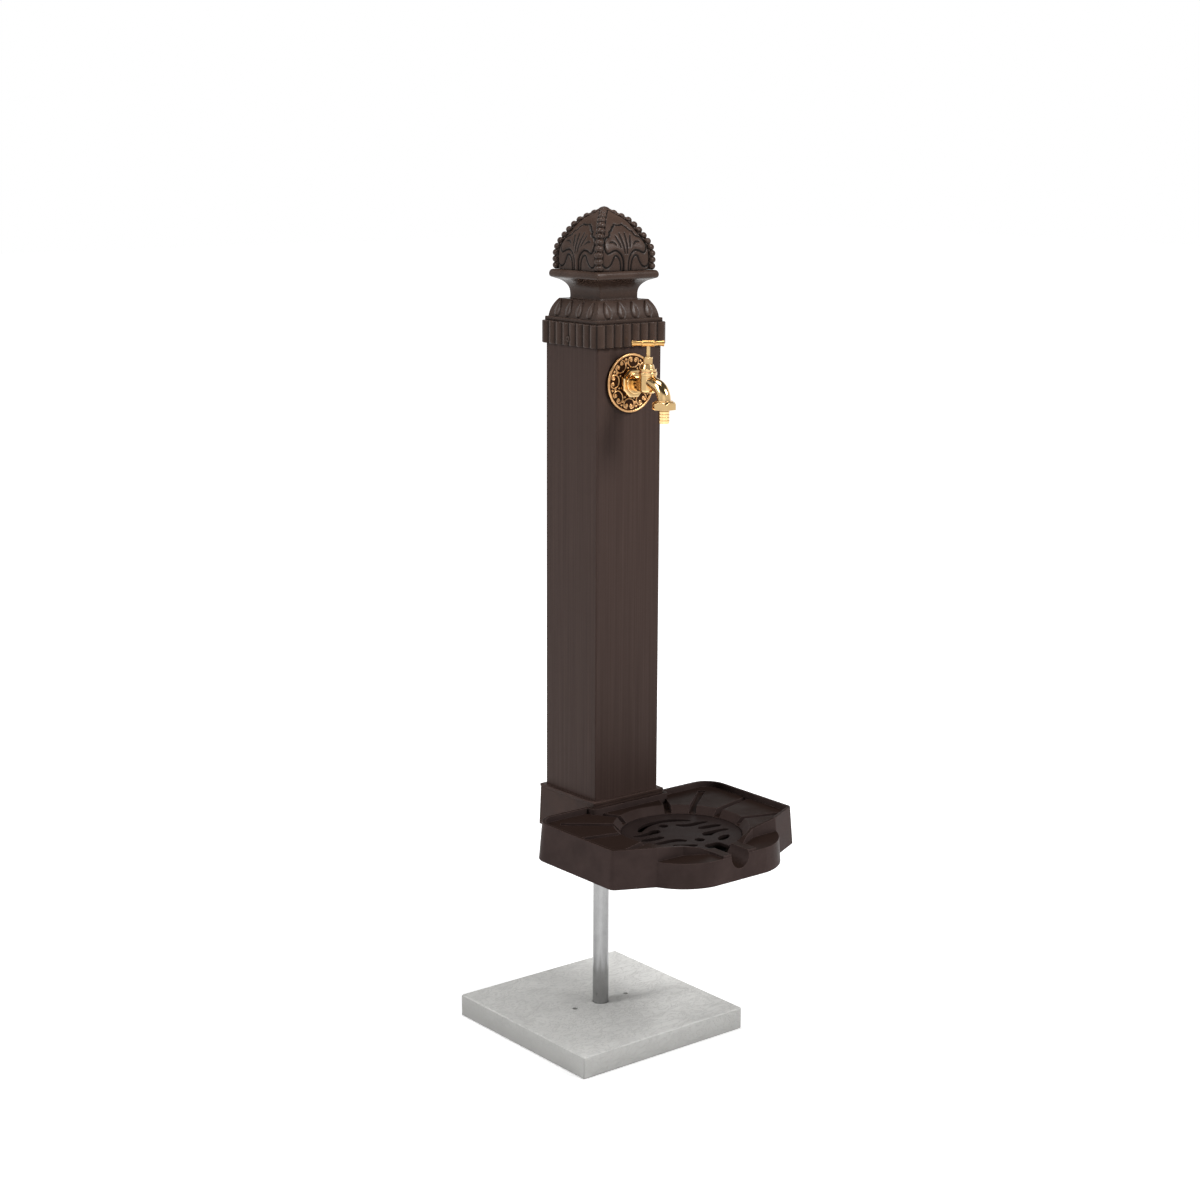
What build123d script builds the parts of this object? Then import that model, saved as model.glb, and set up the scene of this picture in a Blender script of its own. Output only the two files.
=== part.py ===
from build123d import *
from math import cos, hypot, radians, sin
import os

# A garden standpipe: a square post on a cast base with a splash basin, a bib tap on the
# front face and a cast finial. The column hangs on its riser pipe above a footing slab,
# as it does while it is lowered onto it. All lengths are millimetres and angles degrees.
# +Z is up, the tap looks along -Y, and the origin is the centre of the slab's underside.

# Footing slab
slab_side = 310.0
slab_thickness = 34.0
slab_edge_chamfer = 1.5
column_raise = 284.0
anchor_spacing = 100.0
slab_anchor_radius = 4.0
slab_pipe_clearance = 0.3

# Riser pipe and its fittings
pipe_radius = 12.25
pipe_wall = 2.0
pipe_end_gap = 3.0
grommet_wall = 4.0
grommet_flange = 4.0
grommet_flange_thickness = 3.0
elbow_wall = 4.0
elbow_bead = 1.6
elbow_bead_width = 5.0
elbow_pipe_socket = 16.0
elbow_branch_reach = 30.0
elbow_thread_depth = 12.0
thread_clearance = 0.05

# Square post
post_half = 60.0
post_wall = 2.5
post_corner_radius = 1.6
post_length = 762.0
post_clearance = 0.3

# Base shoe: the cast socket that the post stands in
shoe_floor = 8.0
shoe_height = 64.0
shoe_wall = 5.6
shoe_flare = 1.7
shoe_lip = 1.0
shoe_lip_height = 4.0
shoe_anchor_radius = 4.5

# Basin: its front is set out from the front edge of the grate's well
basin_rim_height = 56.4
basin_half_width = 171.6
basin_back = 54.0
basin_draft = 3.4
basin_rim_width = 4.5
basin_wall = 5.0
basin_back_corner_radius = 33.0
basin_front_corner_radius = 9.0
basin_shoe_clearance = 0.3
plateau_height = 48.0
side_end_setback = 38.4
turn_half = 113.0
turn_setback = 10.4
turn_radius = 6.0
crest_start_setback = 30.4
crest_bend_half = 67.0
crest_bend_setback = 8.9
crest_bend_height = 49.8
crest_ear_half = 43.0
crest_ear_height = 46.0
crest_end_half = 31.0
crest_end_lead = 9.6
crest_end_height = 40.0
apron_height = 36.5
apron_lead = 37.6
apron_front_half = 50.0
apron_bulge = 10.5

# Well, sump and runnel of the basin
grate_radius = 89.0
grate_thickness = 5.0
grate_top = 36.0
grate_clearance = 0.4
well_setback = 29.7
well_edge_height = 37.5
well_slope_run = 10.0
seat_width = 5.0
sump_floor = 23.0
groove_width = 11.0
groove_depth = 3.0
groove_angles = [62.0, 39.0, 14.0, -17.0]
runnel_radius = 16.5
runnel_start_height = 41.0
runnel_end_height = 32.5

# Slots of the grate, as shares of its radius
wave_slot_shares = [
    ((0.23, 0.36), (0.33, 0.27), (0.52, 0.26), (0.73, 0.19)),
    ((0.42, -0.01), (0.54, -0.02), (0.66, -0.03), (0.78, -0.09)),
    ((0.26, -0.30), (0.38, -0.29), (0.55, -0.26), (0.73, -0.33)),
]
round_hole_share = 0.45
rim_slot_share = 0.73
wave_slot_width = 7.4
drop_radius = 5.4
round_hole_radius = 8.2
rim_slot_width = 7.0
long_rim_slot_angles = (38.0, 134.0)
short_rim_slot_angles = (218.0, 250.0)
oval_slot_angle = 305.0
oval_slot_length = 28.0
oval_slot_width = 9.0
spill_notch_half = 13.0
spill_notch_depth = 26.0
spill_notch_corner = 8.0

# Collar casting round the top of the post
skirt_height = 33.0
skirt_overlap = 31.0
skirt_wall = 5.0
reed_count = 8
reed_bulge = 2.2
ledge_height = 6.0
ledge_inset = 6.2
ovolo_height = 26.5
ovolo_foot_inset = 3.6
ovolo_top_half = 46.5
ovolo_bulge = 2.2
cap_wall = 5.0
leaf_count = 4
leaf_pitch = 25.1
leaf_width = 14.0
leaf_length = 20.0
leaf_rise = 1.2
leaf_root_height = 3.4
leaf_belly_share = 0.35
leaf_foot_share = 0.5

# Finial casting: scotia neck, plate and ribbed dome
neck_half = 35.2
neck_height = 30.0
neck_throat_height = 5.0
neck_spread_half = 55.5
plate_half = 57.4
plate_thickness = 13.0
plate_round = 2.5
dome_half = 51.4
dome_height = 91.0
dome_profile_shares = [
    (0.990, 0.00), (1.000, 0.14), (0.985, 0.30), (0.915, 0.43), (0.735, 0.61), (0.490, 0.80),
]
bead_count = 12
bead_radius = 5.2
bead_outset = 0.4

# Hidden bolt through the cap
cap_bolt_radius = 4.0
cap_bolt_head_across = 13.0
cap_bolt_head_height = 5.5
cap_bolt_grip = 32.0
cap_bolt_clearance = 0.3

# Screws
cap_screw_height = 9.5
screw_radius = 2.5
screw_head_radius = 4.6
screw_head_height = 2.8
screw_drive_radius = 1.6
screw_drive_depth = 1.4
screw_clearance = 0.2
screw_pocket_depth = 0.6
post_screw_half = 30.0
post_screw_height = 38.0
basin_screw_half = 42.0
basin_screw_heights = (18.0, 44.0)
screw_tip = 4.0

# Tap: reaches are measured forward from the face of the post
tap_drop = 84.0
gasket_radius = 40.0
gasket_thickness = 1.0
rosette_radius = 43.5
rosette_plate = 2.5
rosette_relief = 1.8
rosette_ring_width = 4.2
rosette_ring_relief = 2.4
motif_count = 8
motif_radius = 8.4
motif_reach = 32.0
motif_band = 2.2
motif_opening_angle = 58.0
curl_radius = 3.1
curl_outward_share = 0.36
curl_sideways_share = 0.43
ball_radius = 1.8
ball_reach = 36.2
dart_radius = 1.7
dart_reach = 24.6
shank_radius = 10.4
shank_bore = 5.0
shank_length = 44.0
flange_sides = 8
flange_across = 40.0
flange_thickness = 9.5
flange_chamfer = 1.5
step_radius = 15.5
step_thickness = 2.5
barrel_radius = 11.0
chamber_reach = 42.0
chamber_radius = 12.4
chamber_bore = 9.6
chamber_floor_drop = 11.3
chamber_floor_round = 5.0
chamber_top_rise = 19.5
chamber_ring_rise = 1.0
chamber_ring_height = 5.0
seat_rise = 4.0
spout_start_rise = 7.0
spout_slope = 15.0
spout_straight = 21.7
spout_bend_radius = 21.0
spout_radius = 9.8
spout_bore = 6.5
spout_bore_start = 8.0
nozzle_radius = 13.0
nozzle_length = 6.5
backnut_across = 30.0
backnut_height = 7.0
backnut_washer_radius = 17.0
backnut_washer_thickness = 1.5

# Headwork of the tap
bonnet_gasket_thickness = 0.8
bonnet_skirt_depth = 6.0
bonnet_skirt_wall = 1.2
bonnet_web = 1.5
bonnet_flange_height = 3.6
bonnet_shoulder_radius = 10.0
bonnet_shoulder_top = 8.2
bonnet_shoulder_height = 6.4
bonnet_neck_radius = 4.6
bonnet_neck_height = 6.5
gland_across = 12.0
gland_height = 10.6
gland_flange_radius = 6.8
gland_flange_height = 2.6
packing_height = 3.0
spindle_radius = 3.0
spindle_thread_radius = 4.0
spindle_thread_length = 9.0
spindle_exposed = 14.5
spindle_clearance = 0.08
spindle_rise = 6.0
jumper_radius = 7.6
jumper_thickness = 1.6
jumper_pin_radius = 1.6
jumper_pin_length = 5.0
jumper_washer_thickness = 3.0
jumper_clearance = 0.3
handle_half_length = 23.4
hub_radius = 5.0
hub_half_length = 9.0
grip_neck_radius = 3.0
grip_end_radius = 4.7
grip_end_round = 1.0
handle_angle = -38.0

# Hose connection
hose_nut_across = 31.0
hose_nut_height = 11.0
hose_nut_floor = 2.2
hose_nut_chamfer = 2.6
hose_nut_chamfer_rise = 2.8
tail_radius = 7.4
tail_bore = 5.4
tail_length = 22.5
tail_flange_radius = 11.6
tail_flange_thickness = 1.8
barb_count = 4
barb_rise = 0.9
barb_pitch = 4.4
hose_washer_thickness = 1.8
hose_clearance = 0.3

# One overrun for every cut that has to pass a face
overrun = 5.0

# Derived places, measured up from the underside of the base
base_height = slab_thickness + column_raise
post_top = shoe_floor + post_length
socket_half = post_half + post_clearance
shoe_half = socket_half + shoe_wall
skirt_bottom = post_top - skirt_overlap
skirt_top = skirt_bottom + skirt_height
skirt_half = socket_half + skirt_wall
ledge_half = skirt_half - ledge_inset + reed_bulge
ledge_top = skirt_top + ledge_height
collar_top = ledge_top + ovolo_height
plate_bottom = collar_top + neck_height
plate_top = plate_bottom + plate_thickness
tap_height = post_top - tap_drop
chamber_place = post_half + chamber_reach
flange_back = post_half + gasket_thickness + rosette_plate
flange_front = flange_back + flange_thickness
step_front = flange_front + step_thickness
seat_top = tap_height + seat_rise
chamber_top = tap_height + chamber_top_rise
bonnet_base = chamber_top + bonnet_gasket_thickness
shoulder_base = bonnet_base + bonnet_flange_height
neck_base = shoulder_base + bonnet_shoulder_height
gland_top = neck_base + gland_height
hub_height = gland_top + spindle_exposed + hub_radius
spout_drop = spout_straight * sin(radians(spout_slope))
spout_run = spout_straight * cos(radians(spout_slope))
spout_bend_height = tap_height + spout_start_rise - spout_drop
outlet_place = chamber_place + spout_run + spout_bend_radius * (1 - sin(radians(spout_slope)))
outlet_height = spout_bend_height - spout_bend_radius * cos(radians(spout_slope))
nozzle_end = outlet_height - nozzle_length
tail_top = nozzle_end - hose_washer_thickness
nut_shelf = tail_top - tail_flange_thickness - hose_clearance
well_radius = grate_radius + grate_clearance
notch_half = shoe_half + shoe_flare + basin_shoe_clearance
grate_reach = notch_half + well_setback + well_radius
well_front = grate_reach + well_radius
apron_front_reach = well_front + apron_lead
grate_bottom = grate_top - grate_thickness
sump_radius = well_radius - seat_width
shoe_wall_top = shoe_height - shoe_lip_height
pipe_top = tap_height - pipe_radius - pipe_end_gap


# Shared shapes
def rod(radius, low, high):
    return Pos(0, 0, low) * Cylinder(radius, high - low, align=(Align.CENTER, Align.CENTER, Align.MIN))


def ring(outer, inner, low, high):
    return rod(outer, low, high) - rod(inner, low - overrun, high + overrun)


def prism(outline, low, high):
    return Pos(0, 0, low) * extrude(outline, amount=high - low)


def square(half, corner=0):
    return RectangleRounded(2 * half, 2 * half, corner) if corner else Rectangle(2 * half, 2 * half)


def hexagon(across, low, high):
    return prism(RegularPolygon(across / 2, 6, major_radius=False), low, high)


def four_sided(half_outline, reach):
    """A solid with the same outline from all four sides, from the right half of that outline."""
    face = make_face(half_outline + mirror(half_outline, Plane.YZ))
    slab = extrude(Plane.XZ * face, amount=reach, both=True)
    return slab & (Rot(0, 0, 90) * slab)


def forward(shape):
    """Turn a shape's +Z to the front and put it on the tap's level."""
    return Pos(0, 0, tap_height) * Rot(90, 0, 0) * shape


def at_chamber(shape):
    return Pos(0, -chamber_place, 0) * shape


def at_outlet(shape):
    return Pos(0, -outlet_place, 0) * shape


def both_sides(shape):
    return shape + mirror(shape, Plane.YZ)


def round_corners(face, spots, radius):
    """Rounds the corners of a flat outline that lie nearest to the given spots."""
    corners = [face.vertices().sort_by_distance((*spot, 0))[0] for spot in spots]
    return fillet(corners, radius)


def mirrored(spots):
    return [(-x, y) for x, y in reversed(spots)]


# Footing
def footing_slab():
    slab = prism(square(slab_side / 2), 0, slab_thickness)
    slab = chamfer(slab.edges(), slab_edge_chamfer)
    anchor = Pos(anchor_spacing / 2, 0, 0) * rod(slab_anchor_radius, -overrun, slab_thickness + overrun)
    pipe_hole = rod(pipe_radius + slab_pipe_clearance, -overrun, slab_thickness + overrun)
    return slab - both_sides(anchor) - pipe_hole


# Base, post and riser
def base_shoe():
    wall = loft([square(shoe_half + shoe_flare), Pos(0, 0, shoe_wall_top) * square(shoe_half)])
    lip = prism(square(shoe_half + shoe_lip, shoe_lip), shoe_wall_top, shoe_height)
    shoe = wall + lip - prism(square(socket_half, post_corner_radius), shoe_floor, shoe_height + overrun)
    shoe -= rod(pipe_radius + grommet_wall, -overrun, shoe_floor + overrun)
    anchor = Pos(anchor_spacing / 2, 0, 0) * rod(shoe_anchor_radius, -overrun, shoe_floor + overrun)
    shoe -= both_sides(anchor)
    for place in post_screw_places():
        shoe -= place * rod(screw_radius + screw_clearance, -shoe_half, 0)
        shoe -= place * rod(screw_head_radius + screw_clearance, 0, overrun)
    for place in basin_screw_places():
        shoe -= place * countersink(shoe_wall + shoe_flare + overrun)
    return shoe


def post():
    tube = prism(square(post_half, post_corner_radius), shoe_floor, post_top)
    tube -= prism(square(post_half - post_wall), shoe_floor - overrun, post_top + overrun)
    tube -= forward(rod(shank_radius + screw_clearance, post_half - post_wall - overrun, post_half + overrun))
    for place in post_screw_places() + cap_screw_places():
        tube -= place * rod(screw_radius + thread_clearance, -shoe_half, shoe_half)
    return tube


def riser_pipe():
    return ring(pipe_radius, pipe_radius - pipe_wall, -base_height, pipe_top)


def pipe_grommet():
    hole = pipe_radius + grommet_wall
    flange_top = shoe_floor + grommet_flange_thickness
    body = rod(hole, 0, shoe_floor) + rod(hole + grommet_flange, shoe_floor, flange_top)
    return body - rod(pipe_radius, -overrun, flange_top + overrun)


def riser_elbow():
    mouth = pipe_top - elbow_pipe_socket
    thread_start = elbow_branch_reach - elbow_thread_depth
    outer = pipe_radius + elbow_wall
    body = rod(outer, mouth, tap_height) + Pos(0, 0, tap_height) * Sphere(outer)
    body += forward(rod(outer, 0, elbow_branch_reach))
    body += rod(outer + elbow_bead, mouth, mouth + elbow_bead_width)
    body += forward(rod(outer + elbow_bead, elbow_branch_reach - elbow_bead_width, elbow_branch_reach))
    body -= rod(pipe_radius + thread_clearance, mouth - overrun, pipe_top)
    body -= rod(pipe_radius - pipe_wall, pipe_top - overrun, tap_height)
    body -= forward(rod(pipe_radius - pipe_wall, 0, thread_start))
    body -= Pos(0, 0, tap_height) * Sphere(pipe_radius - pipe_wall)
    return body - forward(rod(shank_radius + thread_clearance, thread_start, elbow_branch_reach + overrun))


# Screws: each is drawn along +Z with its head's seat at zero and its tip below
def screw(length):
    head = rod(screw_head_radius, 0, screw_head_height)
    head = fillet(head.edges().sort_by(Axis.Z)[-1], screw_head_height / 2)
    socket_low = screw_head_height - screw_drive_depth
    drive = prism(RegularPolygon(screw_drive_radius, 6), socket_low, screw_head_height + overrun)
    return head + rod(screw_radius, -length, 0) - drive


def countersink(depth, clearance=screw_clearance):
    cone_depth = screw_head_radius - screw_radius
    cone = Cone(screw_radius + clearance, screw_head_radius + clearance, cone_depth)
    cone = Pos(0, 0, -cone_depth / 2) * cone
    return cone + rod(screw_radius + clearance, -depth, 0)


def flat_screw(length):
    drive = prism(RegularPolygon(screw_drive_radius, 6), -screw_drive_depth, overrun)
    return countersink(length, 0) - drive


def post_screw_places():
    """Seats in the flared back wall, each in a shallow pocket."""
    wall_half = shoe_half + shoe_flare * (1 - post_screw_height / shoe_wall_top)
    back = wall_half - screw_pocket_depth
    turn = Rot(-90, 0, 0)
    return [Pos(side * post_screw_half, back, post_screw_height) * turn for side in (-1, 1)]


def cap_screw_places():
    """Seats sunk between the reeds, so that the heads end level with the reeds."""
    face = skirt_half + reed_bulge - screw_head_height
    height = skirt_bottom + cap_screw_height
    return [Pos(side * face, 0, height) * Rot(0, side * 90, 0) for side in (-1, 1)]


def basin_screw_places():
    turn = Rot(-90, 0, 0)
    return [
        Pos(side * basin_screw_half, -socket_half, height) * turn
        for side in (-1, 1)
        for height in basin_screw_heights
    ]


def post_screws():
    length = shoe_wall + shoe_flare + post_clearance + post_wall + screw_tip
    return Compound([place * screw(length) for place in post_screw_places()])


def cap_screws():
    length = skirt_wall + reed_bulge + post_clearance + post_wall + screw_tip
    return Compound([place * screw(length) for place in cap_screw_places()])


def basin_screws():
    length = shoe_wall + shoe_flare + basin_shoe_clearance + basin_wall - screw_clearance
    return Compound([place * flat_screw(length) for place in basin_screw_places()])


# Basin
def side_points(grow):
    """Right half of the basin in plan, from the notch round the shoe to the concave turn."""
    side = basin_half_width + grow
    return [
        (notch_half, -notch_half),
        (notch_half, -basin_back + grow),
        (side, -basin_back + grow),
        (side, side_end_setback - well_front - grow),
        (turn_half + grow, turn_setback - well_front - grow),
    ]


def rounded_sides(face, grow):
    back, front = side_points(grow)[2:4]
    face = round_corners(face, [back, *mirrored([back])], basin_back_corner_radius)
    return round_corners(face, [front, *mirrored([front])], basin_front_corner_radius)


def walled_outline(grow):
    """The basin's high part in plan, closed in front by the crest."""
    points = side_points(grow) + [
        (crest_bend_half, crest_bend_setback - well_front - grow),
        (crest_end_half, -well_front - crest_end_lead - grow),
    ]
    return rounded_sides(make_face(Polyline(points + mirrored(points), close=True)), grow)


def low_outline(grow):
    """The basin's low part in plan, with the round apron in front of the crest."""
    points = side_points(grow)
    turn = points[-1]
    shoulder = (apron_front_half, -apron_front_reach - grow)
    half = Polyline((0, -notch_half), *points) + SagittaArc(turn, shoulder, apron_bulge)
    half += Line(shoulder, (0, shoulder[1]))
    face = rounded_sides(make_face(half + mirror(half, Plane.YZ)), grow)
    return round_corners(face, [turn, *mirrored([turn])], turn_radius)


def drafted(outline, low_grow, high_grow, low, high):
    return loft([Pos(0, 0, low) * outline(low_grow), Pos(0, 0, high) * outline(high_grow)], ruled=True)


def radial_groove(angle):
    """A groove from the wall to the well, falling towards the well."""
    reach = basin_half_width + basin_wall
    section = Polyline(
        (well_radius, well_edge_height),
        (well_radius, plateau_height + overrun),
        (reach, plateau_height + overrun),
        (reach, plateau_height - groove_depth),
        close=True,
    )
    wedge = extrude(Plane.XZ * make_face(section), amount=groove_width / 2, both=True)
    return Pos(0, -grate_reach, 0) * Rot(0, 0, angle) * wedge


def basin():
    apron_grow = basin_draft * (1 - apron_height / basin_rim_height)
    body = drafted(low_outline, basin_draft, apron_grow, 0, apron_height)
    body += drafted(walled_outline, apron_grow, 0, apron_height, basin_rim_height)
    body += runnel_shoulders()
    body -= basin_underside()
    # the dished floor: plateau, fall round the well, well, sump
    inside = offset(walled_outline(0), amount=-basin_rim_width)
    body -= prism(inside, plateau_height, basin_rim_height + overrun)
    slope_height = plateau_height - well_edge_height
    fall = Cone(well_radius, well_radius + well_slope_run, slope_height)
    body -= Pos(0, -grate_reach, well_edge_height + slope_height / 2) * fall
    well = rod(well_radius, grate_bottom, plateau_height + overrun)
    well += rod(sump_radius, sump_floor, plateau_height)
    body -= Pos(0, -grate_reach, 0) * well
    inner_wall = prism(inside, 0, plateau_height + overrun)
    for angle in groove_angles:
        body -= both_sides(radial_groove(angle) & inner_wall)
    body -= crest_cut()
    body -= runnel()
    for place in basin_screw_places():
        depth = shoe_wall + shoe_flare + basin_wall + overrun
        body -= place * rod(screw_radius + thread_clearance, -depth, 0)
    return body


def runnel_shoulders():
    """The raised cheeks beside the runnel, from the crest to the front."""
    length = apron_front_reach - well_front
    block = prism(Rectangle(2 * crest_end_half, length), apron_height - basin_wall, crest_end_height)
    return Pos(0, -well_front - length / 2, 0) * block


def basin_underside():
    """The hollow under the casting, which leaves its walls, the sump's bowl and the runnel's trough."""
    hollow = prism(offset(low_outline(0), amount=-basin_wall), -overrun, apron_height - basin_wall)
    bowl = rod(well_radius + basin_wall, sump_floor - basin_wall, basin_rim_height)
    trough_width = 2 * (runnel_radius + basin_wall)
    trough_low = runnel_end_height - runnel_radius - basin_wall
    trough = prism(Rectangle(trough_width, apron_front_reach - grate_reach), trough_low, basin_rim_height)
    middle = (apron_front_reach + grate_reach) / 2
    return hollow - Pos(0, -grate_reach, 0) * bowl - Pos(0, -middle, 0) * trough


def crest_cut():
    """Lowers the crest from the rim at the concave turns to the shoulders beside the runnel."""
    above = basin_rim_height + overrun
    crest = [
        (turn_half, above),
        (turn_half, basin_rim_height),
        (crest_bend_half, crest_bend_height),
        (crest_ear_half, crest_ear_height),
        (crest_end_half, crest_end_height),
    ]
    profile = make_face(Polyline(crest + mirrored(crest), close=True))
    start = well_front - crest_start_setback
    wedge = extrude(Plane.XZ * profile, amount=apron_front_reach + overrun - start)
    return Pos(0, -start, 0) * wedge


def runnel():
    """The round-bottomed channel from the sump out through the front wall."""
    start = Vector(0, -grate_reach - sump_radius + overrun, runnel_start_height)
    end = Vector(0, -apron_front_reach - basin_draft - overrun, runnel_end_height)
    section = Pos(0, basin_rim_height / 2) * Rectangle(2 * runnel_radius, basin_rim_height)
    section += Circle(runnel_radius)
    return extrude(Plane(start, x_dir=(1, 0, 0), z_dir=end - start) * section, amount=(end - start).length)


# Grate
def wave_slot(points):
    band = trace(Spline(*points), wave_slot_width)
    return band + [Pos(*end) * Circle(wave_slot_width / 2) for end in (points[0], points[-1])]


def rim_slot(start, end):
    reach = rim_slot_share * grate_radius
    return SlotArc(CenterArc((0, 0), reach, start, end - start), rim_slot_width)


def grate():
    plate = prism(Circle(grate_radius), grate_bottom, grate_top)
    waves = [[(grate_radius * x, grate_radius * y) for x, y in slot] for slot in wave_slot_shares]
    side = Sketch() + [wave_slot(points) for points in waves]
    side += Pos(*waves[-1][0]) * Circle(drop_radius)
    side += Pos(0, round_hole_share * grate_radius) * Circle(round_hole_radius)
    holes = side + Rot(0, 0, 180) * side
    holes += rim_slot(*long_rim_slot_angles) + rim_slot(*short_rim_slot_angles)
    wide_end = Pos(rim_slot_share * grate_radius, 0) * Circle(drop_radius)
    holes += Rot(0, 0, long_rim_slot_angles[1]) * wide_end
    oval = Rot(0, 0, -oval_slot_angle) * SlotOverall(oval_slot_length, oval_slot_width)
    holes += Rot(0, 0, oval_slot_angle) * Pos(rim_slot_share * grate_radius, 0) * oval
    notch = RectangleRounded(2 * spill_notch_half, 2 * spill_notch_depth, spill_notch_corner)
    holes += Pos(0, -grate_radius) * notch
    plate -= prism(holes, grate_bottom - overrun, grate_top + overrun)
    return Pos(0, -grate_reach, 0) * plate


# Collar and finial
def reeded_outline():
    """A square of convex reeds, corner to corner on every side."""
    pitch = 2 * skirt_half / reed_count
    starts = [-skirt_half + pitch * number for number in range(reed_count)]
    side = Curve() + [
        SagittaArc((x, -skirt_half), (x + pitch, -skirt_half), -reed_bulge) for x in starts
    ]
    return make_face(Curve() + [Rot(0, 0, 90 * quarter) * side for quarter in range(4)])


def ovolo_outline(grow=0):
    """Half section of the ovolo, grown outwards for what stands on it."""
    foot_half = ledge_half - ovolo_foot_inset
    outline = Line((0, ledge_top), (foot_half + grow, ledge_top))
    outline += SagittaArc((foot_half + grow, ledge_top), (ovolo_top_half + grow, collar_top), -ovolo_bulge)
    return outline + Line((ovolo_top_half + grow, collar_top), (0, collar_top))


def leaf():
    """Outline of one pointed leaf as seen from the front, made deep enough to reach the ovolo."""
    half_width = leaf_width / 2
    foot = half_width * leaf_foot_share
    belly = (half_width, leaf_length * leaf_belly_share)
    edge = ThreePointArc((foot, 0), belly, (0, leaf_length))
    outline = make_face(edge + mirror(edge, Plane.YZ) + Line((-foot, 0), (foot, 0)))
    upright = Rot(90, 0, 0) * extrude(outline, amount=ledge_half)
    return Pos(0, 0, ledge_top + leaf_root_height) * upright


def cap_collar():
    body = prism(reeded_outline(), skirt_bottom, skirt_top) + prism(square(ledge_half), skirt_top, ledge_top)
    body += four_sided(ovolo_outline(), ledge_half)
    row = [leaf_pitch * (number - (leaf_count - 1) / 2) for number in range(leaf_count)]
    row = [Pos(x, 0, 0) * leaf() for x in row]
    leaves = Part() + [Rot(0, 0, 90 * quarter) * blank for quarter in range(4) for blank in row]
    body += leaves & four_sided(ovolo_outline(leaf_rise), ledge_half + leaf_rise)
    body -= prism(square(socket_half, post_corner_radius), skirt_bottom - overrun, post_top)
    body -= prism(square(ovolo_top_half - cap_wall), post_top - overrun, collar_top - cap_wall)
    body -= rod(cap_bolt_radius + cap_bolt_clearance, post_top, collar_top + overrun)
    for place in cap_screw_places():
        body -= place * rod(screw_radius + screw_clearance, -skirt_wall - overrun, overrun)
        body -= place * rod(screw_head_radius + screw_clearance, 0, overrun)
    return body


def dome_outline():
    points = [(dome_half * x, plate_top + dome_height * z) for x, z in dome_profile_shares]
    return Spline(points + [(0, plate_top + dome_height)])


def finial():
    throat = (neck_half, collar_top + neck_throat_height)
    spread = (neck_spread_half, plate_bottom)
    scotia = Line((0, collar_top), (neck_half, collar_top)) + Line((neck_half, collar_top), throat)
    scotia += TangentArc(throat, spread, tangent=(0, 1)) + Line(spread, (0, plate_bottom))
    body = four_sided(scotia, plate_half)
    plate = prism(square(plate_half, plate_round), plate_bottom, plate_top)
    body += chamfer(plate.faces().sort_by(Axis.Z)[-1].edges(), plate_round / 2)
    curve = dome_outline()
    foot = (dome_half * dome_profile_shares[0][0], plate_top)
    body += four_sided(curve + Line((0, plate_top), foot), plate_half)
    beads = []
    for number in range(bead_count):
        spot = curve @ ((number + 0.5) / bead_count)
        out = spot.X + bead_outset
        bead = Pos(out, out, spot.Y) * Sphere(bead_radius)
        beads += [Rot(0, 0, 90 * quarter) * bead for quarter in range(4)]
    body = body.fuse(*beads)
    return body - rod(cap_bolt_radius + thread_clearance, collar_top - overrun, collar_top + cap_bolt_grip)


def cap_bolt():
    seat = collar_top - cap_wall
    head = hexagon(cap_bolt_head_across, seat - cap_bolt_head_height, seat)
    return head + rod(cap_bolt_radius, seat, collar_top + cap_bolt_grip - cap_bolt_clearance)


# Rosette behind the tap
def rosette_gasket():
    gasket_front = post_half + gasket_thickness
    return forward(ring(gasket_radius, shank_radius + screw_clearance, post_half, gasket_front))


def rosette():
    back = post_half + gasket_thickness
    front = back + rosette_plate
    body = ring(rosette_radius, shank_radius + screw_clearance, back, front)
    rim = ring(rosette_radius, rosette_radius - rosette_ring_width, front, front + rosette_ring_relief)
    rim = chamfer(rim.edges().group_by(Axis.Z)[-1], rosette_ring_width / 4)
    # one scroll: a band open to the rim, with its two ends curled in
    relief_top = front + rosette_relief
    band_turn = 360 - 2 * motif_opening_angle
    band_arc = CenterArc((motif_reach, 0), motif_radius, motif_opening_angle, band_turn)
    band = prism(SlotArc(band_arc, motif_band), front, relief_top)
    curl_out = motif_reach + curl_outward_share * motif_radius
    curl_side = curl_sideways_share * motif_radius
    curls = [Pos(curl_out, side * curl_side, 0) * rod(curl_radius, front, relief_top) for side in (-1, 1)]
    ball = Pos(ball_reach, 0, front) * Sphere(ball_radius)
    dart = Pos(dart_reach, 0, 0) * prism(RegularPolygon(dart_radius, 3), front, relief_top)
    half_pitch = Rot(0, 0, 180 / motif_count)
    cell = [band, *curls, half_pitch * ball, half_pitch * dart]
    step = 360 / motif_count
    relief = [Rot(0, 0, step * number) * piece for number in range(motif_count) for piece in cell]
    return forward(body.fuse(rim, *relief))


# Tap
def spout_path(start_share=0):
    start = Vector(0, -chamber_place, tap_height + spout_start_rise)
    heading = Vector(0, -cos(radians(spout_slope)), -sin(radians(spout_slope)))
    bend = start + heading * spout_straight
    end = Vector(0, -outlet_place, outlet_height)
    first = start + heading * (spout_straight * start_share)
    return Line(first, bend) + TangentArc(bend, end, tangent=heading)


def spout(radius, start_share=0):
    path = spout_path(start_share)
    heading = (0, -cos(radians(spout_slope)), -sin(radians(spout_slope)))
    return sweep(Plane(path @ 0, z_dir=heading) * Circle(radius), path=path)


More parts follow.
